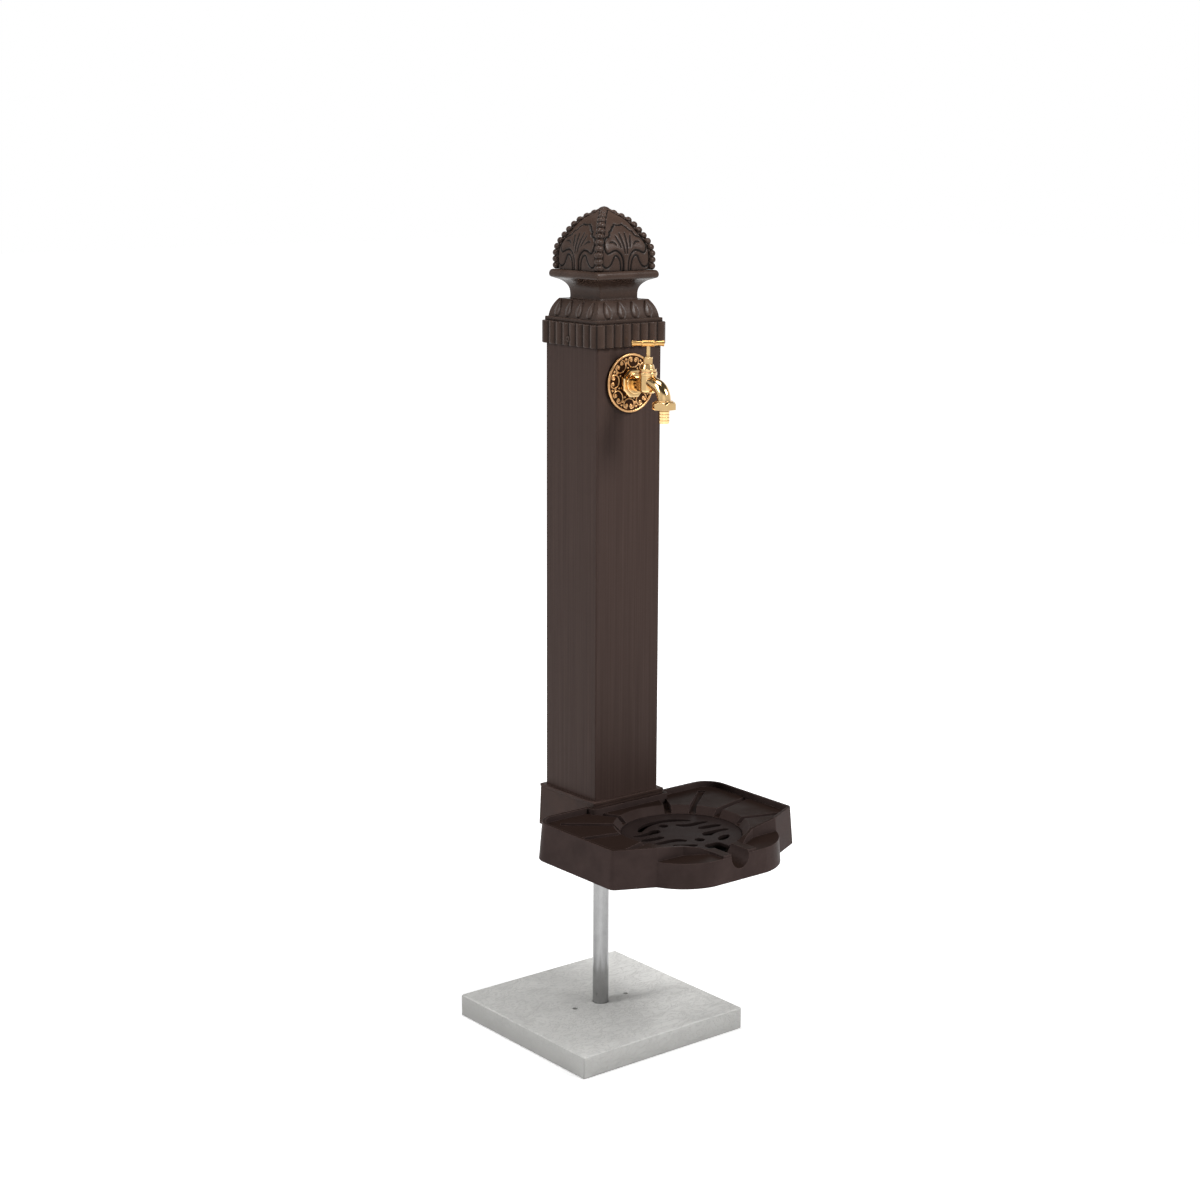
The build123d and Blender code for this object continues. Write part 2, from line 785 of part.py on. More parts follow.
def tap_body():
    shank_end = post_half - (shank_length - gasket_thickness - rosette_plate)
    body = forward(rod(shank_radius, shank_end, flange_back))
    outline = RegularPolygon(flange_across / 2, flange_sides, major_radius=False)
    outline = Rot(0, 0, 180 / flange_sides) * outline
    octagon = prism(outline, flange_back, flange_front)
    octagon = chamfer(octagon.faces().sort_by(Axis.Z)[-1].edges(), flange_chamfer)
    step = rod(step_radius, flange_front, step_front)
    step = fillet(step.edges().sort_by(Axis.Z)[-1], step_thickness / 2)
    body += forward(octagon) + forward(step) + forward(rod(barrel_radius, step_front, chamber_place))
    bowl = rod(chamber_radius, tap_height - chamber_floor_drop, chamber_top)
    bowl = fillet(bowl.edges().sort_by(Axis.Z)[0], chamber_floor_round)
    lip = rod(chamber_radius + chamber_ring_rise, chamber_top - chamber_ring_height, chamber_top)
    lip = fillet(lip.edges(), chamber_ring_rise)
    body += at_chamber(bowl) + at_chamber(lip) + spout(spout_radius)
    body += at_outlet(rod(nozzle_radius, nozzle_end, outlet_height))
    # waterway: inlet below the seat, outlet above it
    body -= forward(rod(shank_bore, shank_end - overrun, chamber_place + shank_bore))
    body -= at_chamber(rod(shank_bore, tap_height, seat_top))
    body -= at_chamber(rod(chamber_bore, seat_top, chamber_top + overrun))
    body -= spout(spout_bore, spout_bore_start / spout_straight)
    return body - at_outlet(rod(spout_bore, nozzle_end - overrun, outlet_height + thread_clearance))


def backnut_washer():
    high = post_half - post_wall
    low = high - backnut_washer_thickness
    return forward(ring(backnut_washer_radius, shank_radius + thread_clearance, low, high))


def tap_backnut():
    high = post_half - post_wall - backnut_washer_thickness
    low = high - backnut_height
    hole = rod(shank_radius + thread_clearance, low - overrun, high + overrun)
    return forward(hexagon(backnut_across, low, high) - hole)


# Headwork
def bonnet_gasket():
    return at_chamber(ring(chamber_radius, chamber_bore, chamber_top, bonnet_base))


def bonnet():
    skirt_bottom_height = chamber_top - bonnet_skirt_depth
    body = rod(chamber_bore - thread_clearance, skirt_bottom_height, bonnet_base)
    body += rod(chamber_radius, bonnet_base, shoulder_base)
    shoulder_middle = shoulder_base + bonnet_shoulder_height / 2
    shoulder = Cone(bonnet_shoulder_radius, bonnet_shoulder_top, bonnet_shoulder_height)
    body += Pos(0, 0, shoulder_middle) * shoulder
    body += rod(bonnet_neck_radius, neck_base, neck_base + bonnet_neck_height)
    pocket_top = chamber_top - bonnet_web
    pocket_radius = chamber_bore - thread_clearance - bonnet_skirt_wall
    body -= rod(pocket_radius, skirt_bottom_height - overrun, pocket_top)
    thread_top = neck_base
    body -= rod(spindle_thread_radius + spindle_clearance, pocket_top - overrun, thread_top - bonnet_web)
    body -= rod(spindle_radius + spindle_clearance, thread_top - overrun, gland_top)
    return at_chamber(body)


def gland_nut():
    body = hexagon(gland_across, neck_base, gland_top - gland_flange_height)
    body += rod(gland_flange_radius, gland_top - gland_flange_height, gland_top)
    packing_top = neck_base + bonnet_neck_height + packing_height
    body -= rod(bonnet_neck_radius + thread_clearance, neck_base - overrun, packing_top)
    return at_chamber(body - rod(spindle_radius + spindle_clearance, neck_base, gland_top + overrun))


def gland_packing():
    low = neck_base + bonnet_neck_height
    return at_chamber(ring(bonnet_neck_radius, spindle_radius + spindle_clearance, low, low + packing_height))


def tap_spindle():
    foot = seat_top + jumper_washer_thickness + jumper_thickness + thread_clearance
    thread_top = neck_base - bonnet_web - spindle_rise - jumper_clearance
    stem = rod(spindle_radius, foot, hub_height - thread_clearance)
    stem += rod(spindle_thread_radius, thread_top - spindle_thread_length, thread_top)
    pin_hole = rod(jumper_pin_radius + spindle_clearance, foot - overrun, foot + jumper_pin_length)
    return at_chamber(stem - pin_hole)


def tee_handle():
    """Hub and flared grips turned on one axis, left at an angle as a hand would."""
    neck_start = hub_half_length
    profile = Line((0, 0), (0, hub_radius)) + Line((0, hub_radius), (neck_start, hub_radius))
    profile += Line((neck_start, hub_radius), (neck_start, grip_neck_radius))
    flare_end = (handle_half_length - grip_end_round, grip_end_radius)
    profile += Line((neck_start, grip_neck_radius), flare_end)
    profile += Line(flare_end, (handle_half_length, grip_end_radius - grip_end_round))
    profile += Line((handle_half_length, grip_end_radius - grip_end_round), (handle_half_length, 0))
    profile += Line((handle_half_length, 0), (0, 0))
    grip = revolve(make_face(profile), Axis.X)
    bar = Pos(0, 0, hub_height) * (grip + mirror(grip, Plane.YZ))
    socket = rod(spindle_radius + thread_clearance, hub_height - hub_radius - overrun, hub_height)
    return at_chamber(Rot(0, 0, handle_angle) * bar - socket)


def jumper():
    low = seat_top + jumper_washer_thickness
    body = rod(jumper_radius, low, low + jumper_thickness)
    body += rod(jumper_pin_radius, low, low + jumper_thickness + jumper_pin_length - jumper_clearance)
    return at_chamber(body)


def jumper_washer():
    return at_chamber(rod(jumper_radius, seat_top, seat_top + jumper_washer_thickness))


# Hose connection
def hose_washer():
    return at_outlet(ring(tail_flange_radius, spout_bore, tail_top, nozzle_end))


def hose_tail():
    low = tail_top - tail_length - tail_flange_thickness
    flange_low = tail_top - tail_flange_thickness
    body = rod(tail_flange_radius, flange_low, tail_top) + rod(tail_radius, low, tail_top)
    for number in range(barb_count):
        barb_low = low + barb_pitch * number
        body += Pos(0, 0, barb_low + barb_pitch / 2) * Cone(tail_radius, tail_radius + barb_rise, barb_pitch)
    return at_outlet(body - rod(tail_bore, low - overrun, tail_top + overrun))


def hose_nut():
    low = nut_shelf - hose_nut_floor
    high = low + hose_nut_height
    body = hexagon(hose_nut_across, low, high)
    corner = hose_nut_across / 2 / cos(radians(30))
    crown_middle = high - hose_nut_chamfer_rise / 2
    crown = Pos(0, 0, crown_middle) * Cone(corner, corner - hose_nut_chamfer, hose_nut_chamfer_rise)
    body &= rod(corner, low, high - hose_nut_chamfer_rise) + crown
    body -= rod(nozzle_radius + hose_clearance, nut_shelf, high + overrun)
    return at_outlet(body - rod(tail_radius + barb_rise + hose_clearance, low - overrun, nut_shelf + overrun))


# All pieces, one file each; everything but the slab rides above it
pieces = {
    "base_shoe": base_shoe,
    "post": post,
    "basin": basin,
    "grate": grate,
    "riser_pipe": riser_pipe,
    "pipe_grommet": pipe_grommet,
    "riser_elbow": riser_elbow,
    "post_screws": post_screws,
    "basin_screws": basin_screws,
    "cap_collar": cap_collar,
    "cap_screws": cap_screws,
    "cap_bolt": cap_bolt,
    "finial": finial,
    "rosette_gasket": rosette_gasket,
    "rosette": rosette,
    "tap_body": tap_body,
    "backnut_washer": backnut_washer,
    "tap_backnut": tap_backnut,
    "bonnet_gasket": bonnet_gasket,
    "bonnet": bonnet,
    "gland_nut": gland_nut,
    "gland_packing": gland_packing,
    "tap_spindle": tap_spindle,
    "tee_handle": tee_handle,
    "jumper": jumper,
    "jumper_washer": jumper_washer,
    "hose_washer": hose_washer,
    "hose_tail": hose_tail,
    "hose_nut": hose_nut,
}

os.makedirs("parts", exist_ok=True)
export_step(footing_slab(), "parts/footing_slab.step")
for name, build in pieces.items():
    export_step(Pos(0, 0, base_height) * build(), f"parts/{name}.step")
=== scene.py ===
import math

import bmesh
import bpy
import numpy as np
from bpy.props import FloatProperty, FloatVectorProperty, PointerProperty
from bpy.types import NodeSocket, Operator, Panel, PropertyGroup
from mathutils import Matrix, Vector


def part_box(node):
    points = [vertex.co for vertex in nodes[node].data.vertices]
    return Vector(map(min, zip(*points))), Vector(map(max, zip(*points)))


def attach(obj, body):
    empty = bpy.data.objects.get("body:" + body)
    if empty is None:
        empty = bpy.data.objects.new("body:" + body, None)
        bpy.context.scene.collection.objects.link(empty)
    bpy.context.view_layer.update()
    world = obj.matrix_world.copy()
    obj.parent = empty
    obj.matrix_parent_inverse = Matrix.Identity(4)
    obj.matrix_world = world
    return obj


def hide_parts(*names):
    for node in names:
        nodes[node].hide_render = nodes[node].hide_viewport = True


bl_info = {
    "name": "Garden standpipe",
    "version": (1, 0, 0),
    "blender": (4, 5, 0),
    "location": "3D View > Sidebar > Standpipe",
    "description": "Finishes of a garden standpipe with a brass tap, a splash basin and a footing slab",
    "category": "Object",
}

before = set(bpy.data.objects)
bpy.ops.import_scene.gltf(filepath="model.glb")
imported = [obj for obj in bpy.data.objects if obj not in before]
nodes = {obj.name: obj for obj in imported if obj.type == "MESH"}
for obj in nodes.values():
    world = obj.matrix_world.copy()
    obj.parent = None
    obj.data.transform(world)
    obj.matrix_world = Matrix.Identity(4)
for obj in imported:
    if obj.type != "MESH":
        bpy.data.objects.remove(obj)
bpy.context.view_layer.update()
MM = 0.001

# Fixed colours
# Painted shade for the sump under the grate, near black.
SUMP_SHADE = (0.004, 0.003, 0.002)
PATINA = (0.045, 0.028, 0.016)
GROUND_BROWN = (0.036, 0.014, 0.005)
ZINC = (0.55, 0.56, 0.58)
FIBRE_RED = (0.40, 0.12, 0.06)
RUBBER_BLACK = (0.02, 0.02, 0.02)


# Node trees
def add(tree, kind, inputs=None, **settings):
    """Adds one node; an input takes a plain value or another node's socket."""
    made = tree.nodes.new(kind)
    for name, value in settings.items():
        setattr(made, name, value)
    for name, value in (inputs or {}).items():
        socket = made.inputs[name]
        if isinstance(value, NodeSocket):
            tree.links.new(value, socket)
        else:
            socket.default_value = value
    return made


def sockets(tree, ins, outs):
    """Names the inputs and outputs of a node group, and returns its two end nodes."""
    for name, value in ins.items():
        made = tree.interface.new_socket(name, in_out="INPUT", socket_type="NodeSocketFloat")
        made.default_value = value
    for name, kind in outs.items():
        tree.interface.new_socket(name, in_out="OUTPUT", socket_type=kind)
    return tree.nodes.new("NodeGroupInput").outputs, tree.nodes.new("NodeGroupOutput").inputs


def maths(tree, operation, a, b=0.0, clamp=False):
    made = add(tree, "ShaderNodeMath", {0: a, 1: b}, operation=operation, use_clamp=clamp)
    return made.outputs[0]


def times(tree, a, b):
    return maths(tree, "MULTIPLY", a, b)


def inverse(tree, mask):
    return maths(tree, "SUBTRACT", 1.0, mask)


def ramp(tree, value, low, high, out_low=0.0, out_high=1.0):
    """A straight rise from out_low at low to out_high at high, held outside them."""
    spots = {"Value": value, "From Min": low, "From Max": high, "To Min": out_low, "To Max": out_high}
    return add(tree, "ShaderNodeMapRange", spots).outputs["Result"]


def blend(tree, factor, first, second):
    """Mixes two colours."""
    made = tree.nodes.new("ShaderNodeMix")
    made.data_type = "RGBA"
    for index, value in ((0, factor), (6, first), (7, second)):
        if isinstance(value, NodeSocket):
            tree.links.new(value, made.inputs[index])
        else:
            made.inputs[index].default_value = value if index == 0 else (*value, 1.0)
    return made.outputs[2]


def tint(colour, *shares):
    """A colour times one share, or times a share for each of its three parts."""
    shares = shares if len(shares) == 3 else shares * 3
    return [min(1.0, part * share) for part, share in zip(colour, shares)]


def vector_maths(tree, operation, a, b=(0.0, 0.0, 0.0)):
    return add(tree, "ShaderNodeVectorMath", {0: a, 1: b}, operation=operation).outputs


def axis_value(tree, vector, axis):
    """One part of a vector: X, Y or Z."""
    return add(tree, "ShaderNodeSeparateXYZ", {0: vector}).outputs[axis]


def facing(tree):
    return tree.nodes.new("ShaderNodeNewGeometry").outputs["Normal"]


def place(tree, stretch=(1.0, 1.0, 1.0)):
    """Object coordinates in metres, stretched for a grain with a direction."""
    spots = tree.nodes.new("ShaderNodeTexCoord").outputs["Object"]
    return add(tree, "ShaderNodeMapping", {"Vector": spots, "Scale": stretch}).outputs["Vector"]


def noise(tree, vector, scale, detail, roughness=0.5, distortion=0.0):
    """Cloudy noise round a middle of 0.5."""
    spots = {"Vector": vector, "Scale": scale, "Detail": detail, "Roughness": roughness}
    return add(tree, "ShaderNodeTexNoise", {**spots, "Distortion": distortion}).outputs["Fac"]


def grain_group():
    """Fine casting grain over broad mottling: a height and a mask."""
    tree = bpy.data.node_groups.new("Casting grain", "ShaderNodeTree")
    ins, outs = sockets(tree, {"Grain size": 0.0012, "Mottle size": 0.03},
                        {"Height": "NodeSocketFloat", "Mottle": "NodeSocketFloat"})
    spots = place(tree)
    fine = noise(tree, spots, maths(tree, "DIVIDE", 1.0, ins["Grain size"]), 3.0, roughness=0.6)
    broad = noise(tree, spots, maths(tree, "DIVIDE", 1.0, ins["Mottle size"]), 5.0, roughness=0.55)
    tree.links.new(fine, outs["Height"])
    tree.links.new(ramp(tree, broad, 0.35, 0.65), outs["Mottle"])
    return tree


def streak_group():
    """Faint streaks that run up and down, as on drawn or wiped metal."""
    tree = bpy.data.node_groups.new("Upright streaks", "ShaderNodeTree")
    ins, outs = sockets(tree, {"Width": 0.003, "Length": 0.2},
                        {"Mask": "NodeSocketFloat", "Height": "NodeSocketFloat"})
    across = maths(tree, "DIVIDE", 1.0, ins["Width"])
    along = maths(tree, "DIVIDE", 1.0, ins["Length"])
    scale = add(tree, "ShaderNodeCombineXYZ", {"X": across, "Y": across, "Z": along}).outputs[0]
    lines = noise(tree, vector_maths(tree, "MULTIPLY", place(tree), scale)[0], 1.0, 4.0, roughness=0.6)
    tree.links.new(ramp(tree, lines, 0.3, 0.7), outs["Mask"])
    tree.links.new(lines, outs["Height"])
    return tree


def hollow_shade_group():
    """A mask from ambient occlusion that rises in recesses and inner corners: painted shade there, and patina
    on the rosette.
    """
    tree = bpy.data.node_groups.new("Patina and painted shade in hollows", "ShaderNodeTree")
    ins, outs = sockets(tree, {"Reach": 0.006, "Amount": 1.0}, {"Mask": "NodeSocketFloat"})
    shade = add(tree, "ShaderNodeAmbientOcclusion", {"Distance": ins["Reach"]}, samples=8, only_local=False)
    speckle = ramp(tree, noise(tree, place(tree), 260.0, 4.0), 0.3, 0.7, 0.6, 1.4)
    uneven = times(tree, inverse(tree, shade.outputs["AO"]), speckle)
    tree.links.new(maths(tree, "MULTIPLY", uneven, ins["Amount"], clamp=True), outs["Mask"])
    return tree


def edge_group():
    """Rounded edges: a mask on the outer edges, for painted highlights on the enamel and rubbed wear on the
    rosette, and a normal that rounds them.
    """
    tree = bpy.data.node_groups.new("Rounded edges", "ShaderNodeTree")
    ins, outs = sockets(tree, {"Width": 0.0008}, {"Mask": "NodeSocketFloat", "Normal": "NodeSocketVector"})
    soft = add(tree, "ShaderNodeBevel", {"Radius": ins["Width"]}, samples=6).outputs[0]
    turn = vector_maths(tree, "DOT_PRODUCT", soft, facing(tree))["Value"]
    tree.links.new(ramp(tree, turn, 0.98, 0.80), outs["Mask"])
    tree.links.new(soft, outs["Normal"])
    return tree


def groups():
    """The shared node groups by name, each built the first time it is asked for."""
    makers = {"Casting grain": grain_group, "Upright streaks": streak_group, "Patina and painted shade in hollows": hollow_shade_group,
              "Rounded edges": edge_group}
    return {title: bpy.data.node_groups.get(title) or make() for title, make in makers.items()}


def use(tree, title, **inputs):
    """Places a shared node group in a material; an underscore in a name stands for a space."""
    made = add(tree, "ShaderNodeGroup", node_tree=groups()[title])
    for name, value in inputs.items():
        made.inputs[name.replace("_", " ")].default_value = value
    return made.outputs


def material(name):
    """A new material with its Principled shader, ready for its colour and roughness."""
    made = bpy.data.materials.new(name)
    made.use_nodes = True
    tree = made.node_tree
    return made, tree, tree.nodes["Principled BSDF"]


def bump(tree, height, normal, distance):
    spots = {"Height": height, "Distance": distance, "Strength": 1.0}
    if normal is not None:
        spots["Normal"] = normal
    return add(tree, "ShaderNodeBump", spots).outputs["Normal"]


def lay(tree, shader, colour, roughness, normal):
    """Links a finish's colour, roughness and normal to its shader."""
    for name, value in (("Base Color", colour), ("Roughness", roughness), ("Normal", normal)):
        tree.links.new(value, shader.inputs[name])


# Finishes
def streaked_enamel(settings):
    """The post: dark brown satin enamel, wiped upright, with faint lighter streaks."""
    made, tree, shader = material("Streaked brown enamel")
    streak = use(tree, "Upright streaks", Width=0.004, Length=0.35)
    fine = use(tree, "Upright streaks", Width=0.0009, Length=0.05)
    grain = use(tree, "Casting grain", Grain_size=0.0009, Mottle_size=0.09)
    edge = use(tree, "Rounded edges", Width=0.0012)
    body = settings.post_brown
    lift = 0.004
    lighter = [part + lift for part in tint(body, 1.22)]
    colour = blend(tree, streak["Mask"], tint(body, 0.86), lighter)
    colour = blend(tree, times(tree, grain["Mottle"], 0.35), colour, body)
    # Painted highlight: the post's outer edges lightened.
    colour = blend(tree, times(tree, edge["Mask"], 0.35), colour, tint(body, 1.7))
    shader.inputs["Specular IOR Level"].default_value = 0.10
    roughness = ramp(tree, fine["Height"], 0.3, 0.7, 0.40, 0.54)
    lay(tree, shader, colour, roughness, bump(tree, fine["Height"], edge["Normal"], 0.00006))
    return made


def sump_mask(tree, middle, reach, top):
    """1 inside the sump, below the grate."""
    wall, drop = 0.0006, 0.002
    spots = place(tree)
    flat = vector_maths(tree, "MULTIPLY", spots, (1.0, 1.0, 0.0))[0]
    away = vector_maths(tree, "DISTANCE", flat, middle)["Value"]
    within = ramp(tree, away, reach, reach - wall)
    return times(tree, within, ramp(tree, axis_value(tree, spots, "Z"), top, top - drop))


def cast_enamel(name, body, recess_shade, rough, gloss, sump=None):
    """Enamelled casting: fine grain, painted shade in the hollows and grooves, painted highlights on the
    edges, and with a sump, painted shade on up-facing faces and a near-black sump.
    """
    made, tree, shader = material(name)
    grain = use(tree, "Casting grain", Grain_size=0.0013, Mottle_size=0.035)
    hollow = use(tree, "Patina and painted shade in hollows", Reach=0.008, Amount=recess_shade)
    edge = use(tree, "Rounded edges", Width=0.0012)
    lines = add(tree, "ShaderNodeAttribute", attribute_name="groove_shade").outputs["Fac"]
    colour = blend(tree, grain["Mottle"], tint(body, 0.88), tint(body, 1.14))
    # Painted highlight: the outer edges lightened.
    colour = blend(tree, times(tree, edge["Mask"], 0.7), colour, tint(body, 2.4))
    # Painted shade: recesses darkened by an ambient occlusion mask.
    colour = blend(tree, hollow["Mask"], colour, tint(body, 0.30))
    # Painted shade: grooves, leaf outlines, reed valleys and screw pockets darkened from the mesh mask.
    colour = blend(tree, lines, colour, tint(body, 0.06))
    if sump:
        # Painted shade: up-facing faces darkened, away from the edges.
        upward = ramp(tree, axis_value(tree, facing(tree), "Z"), 0.45, 0.95)
        upward_shade = times(tree, upward, inverse(tree, edge["Mask"]))
        colour = blend(tree, upward_shade, colour, tint(body, 0.36, 0.31, 0.27))
        # Painted shade: the sump under the grate darkened near black.
        colour = blend(tree, sump_mask(tree, *sump), colour, SUMP_SHADE)
    shader.inputs["Specular IOR Level"].default_value = gloss
    roughness = maths(tree, "ADD", ramp(tree, grain["Mottle"], 0.0, 1.0, *rough), times(tree, lines, 0.35))
    lay(tree, shader, colour, roughness, bump(tree, grain["Height"], edge["Normal"], 0.00012))
    return made


def brass(name, colour, rough, smudge):
    """Turned and polished brass with faint smears and a soft waviness."""
    made, tree, shader = material(name)
    grain = use(tree, "Casting grain", Grain_size=0.004, Mottle_size=0.012)
    hollow = use(tree, "Patina and painted shade in hollows", Reach=0.005, Amount=1.0)
    edge = use(tree, "Rounded edges", Width=0.0005)
    tone = blend(tree, grain["Mottle"], tint(colour, 0.94), colour)
    # Painted shade: recesses darkened to orange-brown.
    tone = blend(tree, hollow["Mask"], tone, tint(colour, 0.34, 0.20, 0.10))
    shader.inputs["Metallic"].default_value = 1.0
    roughness = ramp(tree, grain["Mottle"], 0.0, 1.0, rough, rough + smudge)
    lay(tree, shader, tone, roughness, bump(tree, grain["Height"], edge["Normal"], 0.00003))
    return made


def antique_brass(settings):
    """The rosette: old brass, rubbed bright on the relief and dark brown between it."""
    made, tree, shader = material("Antique brass")
    grain = use(tree, "Casting grain", Grain_size=0.0008, Mottle_size=0.006)
    hollow = use(tree, "Patina and painted shade in hollows", Reach=0.0035, Amount=1.5)
    edge = use(tree, "Rounded edges", Width=0.0007)
    bright = settings.old_brass
    tone = blend(tree, grain["Mottle"], tint(bright, 0.75), bright)
    tone = blend(tree, times(tree, edge["Mask"], 0.7), tone, tint(bright, 1.45))
    tone = blend(tree, hollow["Mask"], tone, PATINA)
    relief_foot, relief_start = settings.rosette_ground - 0.0009, settings.rosette_ground - 0.0004
    ground = ramp(tree, axis_value(tree, place(tree), "Y"), relief_foot, relief_start)
    tone = blend(tree, ground, tone, GROUND_BROWN)
    tree.links.new(ramp(tree, ground, 0.0, 1.0, 1.0, 0.15), shader.inputs["Metallic"])
    shader.inputs["Specular IOR Level"].default_value = 0.08
    roughness = ramp(tree, grain["Mottle"], 0.0, 1.0, 0.28, 0.42)
    lay(tree, shader, tone, roughness, bump(tree, grain["Height"], edge["Normal"], 0.00008))
    return made


def drawn_steel(name, colour, rough):
    """Steel tube or zinc-plated fastener with a fine drawn grain."""
    made, tree, shader = material(name)
    fine = use(tree, "Upright streaks", Width=0.0006, Length=0.03)
    grain = use(tree, "Casting grain", Grain_size=0.002, Mottle_size=0.02)
    edge = use(tree, "Rounded edges", Width=0.0005)
    tone = blend(tree, grain["Mottle"], tint(colour, 0.88), colour)
    shader.inputs["Metallic"].default_value = 0.92
    roughness = ramp(tree, fine["Height"], 0.3, 0.7, rough, rough + 0.12)
    lay(tree, shader, tone, roughness, bump(tree, fine["Height"], edge["Normal"], 0.00002))
    return made


def concrete(settings):
    """Cast concrete: pale grey, wrinkled by its form, with fine pits, and painted shade low on its sides."""
    made, tree, shader = material("Cast concrete")
    grain = use(tree, "Casting grain", Grain_size=0.003, Mottle_size=0.045)
    edge = use(tree, "Rounded edges", Width=0.002)
    spots = place(tree)
    wrinkle = noise(tree, place(tree, (0.55, 1.0, 1.0)), 62.0, 7.0, distortion=2.2)
    folds = ramp(tree, maths(tree, "ABSOLUTE", maths(tree, "SUBTRACT", wrinkle, 0.5)), 0.0, 0.05)
    cells = add(tree, "ShaderNodeTexVoronoi", {"Vector": spots, "Scale": 420.0}).outputs["Distance"]
    pits = ramp(tree, cells, 0.05, 0.22)
    body = settings.concrete_grey
    tone = blend(tree, grain["Mottle"], tint(body, 0.93), body)
    tone = blend(tree, times(tree, inverse(tree, folds), 0.5), tone, tint(body, 0.70))
    tone = blend(tree, times(tree, inverse(tree, pits), 0.3), tone, tint(body, 0.6))
    # Painted shade: side faces darker towards the bottom.
    sides = ramp(tree, axis_value(tree, facing(tree), "Z"), 0.6, 0.3)
    low = ramp(tree, axis_value(tree, spots, "Z"), 0.034, 0.004, 0.45, 1.0)
    tone = blend(tree, times(tree, sides, low), tone, tint(body, 0.68))
    roughness = ramp(tree, grain["Mottle"], 0.0, 1.0, 0.82, 0.95)
    height = maths(tree, "ADD", times(tree, folds, 0.7), times(tree, pits, 0.3))
    lay(tree, shader, tone, roughness, bump(tree, height, edge["Normal"], 0.0005))
    return made


def rubber(name, colour):
    """Rubber or fibre, plain and matte."""
    made, tree, shader = material(name)
    grain = use(tree, "Casting grain", Grain_size=0.0006, Mottle_size=0.01)
    tone = blend(tree, grain["Mottle"], tint(colour, 0.8), tint(colour, 1.25))
    roughness = ramp(tree, grain["Mottle"], 0.0, 1.0, 0.62, 0.8)
    lay(tree, shader, tone, roughness, bump(tree, grain["Height"], None, 0.00005))
    return made


def dress(names, finish):
    """Gives CAD pieces their finish through their material slots."""
    for name in names:
        for slot in nodes[name].material_slots:
            slot.material = finish


# Meshes
LOOP_CORNER, LOOP_ARC_STEPS, LOOP_SIDE_POINTS = 0.8, 4, 8
LATHE_STEPS = 40


def smooth_curve(points, steps):
    """A Catmull-Rom curve through plane points, as an array of points."""
    spots = np.array([points[0], *points, points[-1]], float)
    share = np.linspace(0, 1, steps, endpoint=False)[:, None]
    runs = []
    for a, b, c, d in zip(spots, spots[1:], spots[2:], spots[3:]):
        runs.append(0.5 * (2 * b + (c - a) * share + (2 * a - 5 * b + 4 * c - d) * share**2
                           + (3 * b - a - 3 * c + d) * share**3))
    return np.vstack([*runs, spots[-1:]])


def distance_to(curve, spots):
    """The distance from every spot to a line of points, and how far along the line it lies, from 0 to 1."""
    smallest_square = 1e-12
    best = np.full(len(spots), np.inf)
    where = np.zeros(len(spots))
    for number, (a, b) in enumerate(zip(curve, curve[1:])):
        run = b - a
        along = np.clip(((spots - a) @ run) / max(run @ run, smallest_square), 0, 1)
        reach = np.hypot(*(spots - a - along[:, None] * run).T)
        nearer = reach < best
        best[nearer] = reach[nearer]
        where[nearer] = (number + along[nearer]) / (len(curve) - 1)
    return best, where


def inside(outline, spots):
    """True for every spot within a closed outline."""
    crossings = np.zeros(len(spots), int)
    for a, b in zip(outline, np.roll(outline, -1, axis=0)):
        if a[1] == b[1]:
            continue
        spans = (a[1] > spots[:, 1]) != (b[1] > spots[:, 1])
        x = a[0] + (spots[:, 1] - a[1]) * (b[0] - a[0]) / (b[1] - a[1])
        crossings += spans & (spots[:, 0] < x)
    return crossings % 2 == 1


def groove(depth, width, away):
    """A soft groove of a depth and half width, as a height below the face at a distance from its line."""
    return -depth * np.exp(-((away / width) ** 2))


def swell(away, reach, height):
    """A rounded ridge or button: full height in the middle and nothing at its reach."""
    return height * np.sqrt(np.clip(1 - (away / reach) ** 2, 0, 1))


def unit(vector):
    """The vector at length 1."""
    return vector / np.linalg.norm(vector)


def patch(rows, columns, closed=False):
    """Faces of a grid of points, rows by columns; closed joins the last column to the first."""
    faces = []
    for row in range(rows - 1):
        for column in range(columns if closed else columns - 1):
            beside = (column + 1) % columns
            low, high = row * columns, (row + 1) * columns
            faces.append((low + column, low + beside, high + beside, high + column))
    return faces


def soften(mesh, angle):
    """Smooth shading that keeps edges sharper than the angle, in degrees."""
    mesh.polygons.foreach_set("use_smooth", [True] * len(mesh.polygons))
    mesh.set_sharp_from_angle(angle=math.radians(angle))


def new_object(name, data):
    """An object with the given data, linked to the scene."""
    made = bpy.data.objects.new(name, data)
    bpy.context.collection.objects.link(made)
    return made


class Shell:
    """Gathers patches of points in millimetres into one mesh."""

    def __init__(self):
        self.points, self.faces, self.groove_shade = [], [], []

    def add(self, points, faces, groove_shade=None):
        """Adds a patch, with a value from 0 to 1 on each point for how dark the painted shade in its grooves
        lies.
        """
        start = len(self.points)
        self.points.extend(tuple(point) for point in points)
        self.groove_shade.extend([0.0] * len(points) if groove_shade is None else groove_shade)
        self.faces.extend(tuple(start + corner for corner in face) for face in faces)

    def piece(self, name, finish, body, node, sharp=40):
        """Makes the object, sets its finish, and lets it ride on its body in place of the CAD node."""
        mesh = bpy.data.meshes.new(name)
        mesh.from_pydata([tuple(MM * value for value in point) for point in self.points], [], self.faces)
        solid = bmesh.new()
        solid.from_mesh(mesh)
        bmesh.ops.recalc_face_normals(solid, faces=solid.faces)
        solid.to_mesh(mesh)
        solid.free()
        soften(mesh, sharp)
        # The mask of painted shade in the grooves, read by the enamel's colour.
        mesh.attributes.new("groove_shade", "FLOAT", "POINT").data.foreach_set("value", self.groove_shade)
        mesh.materials.append(finish)
        made = new_object(name, mesh)
        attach(made, body)
        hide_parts(node)


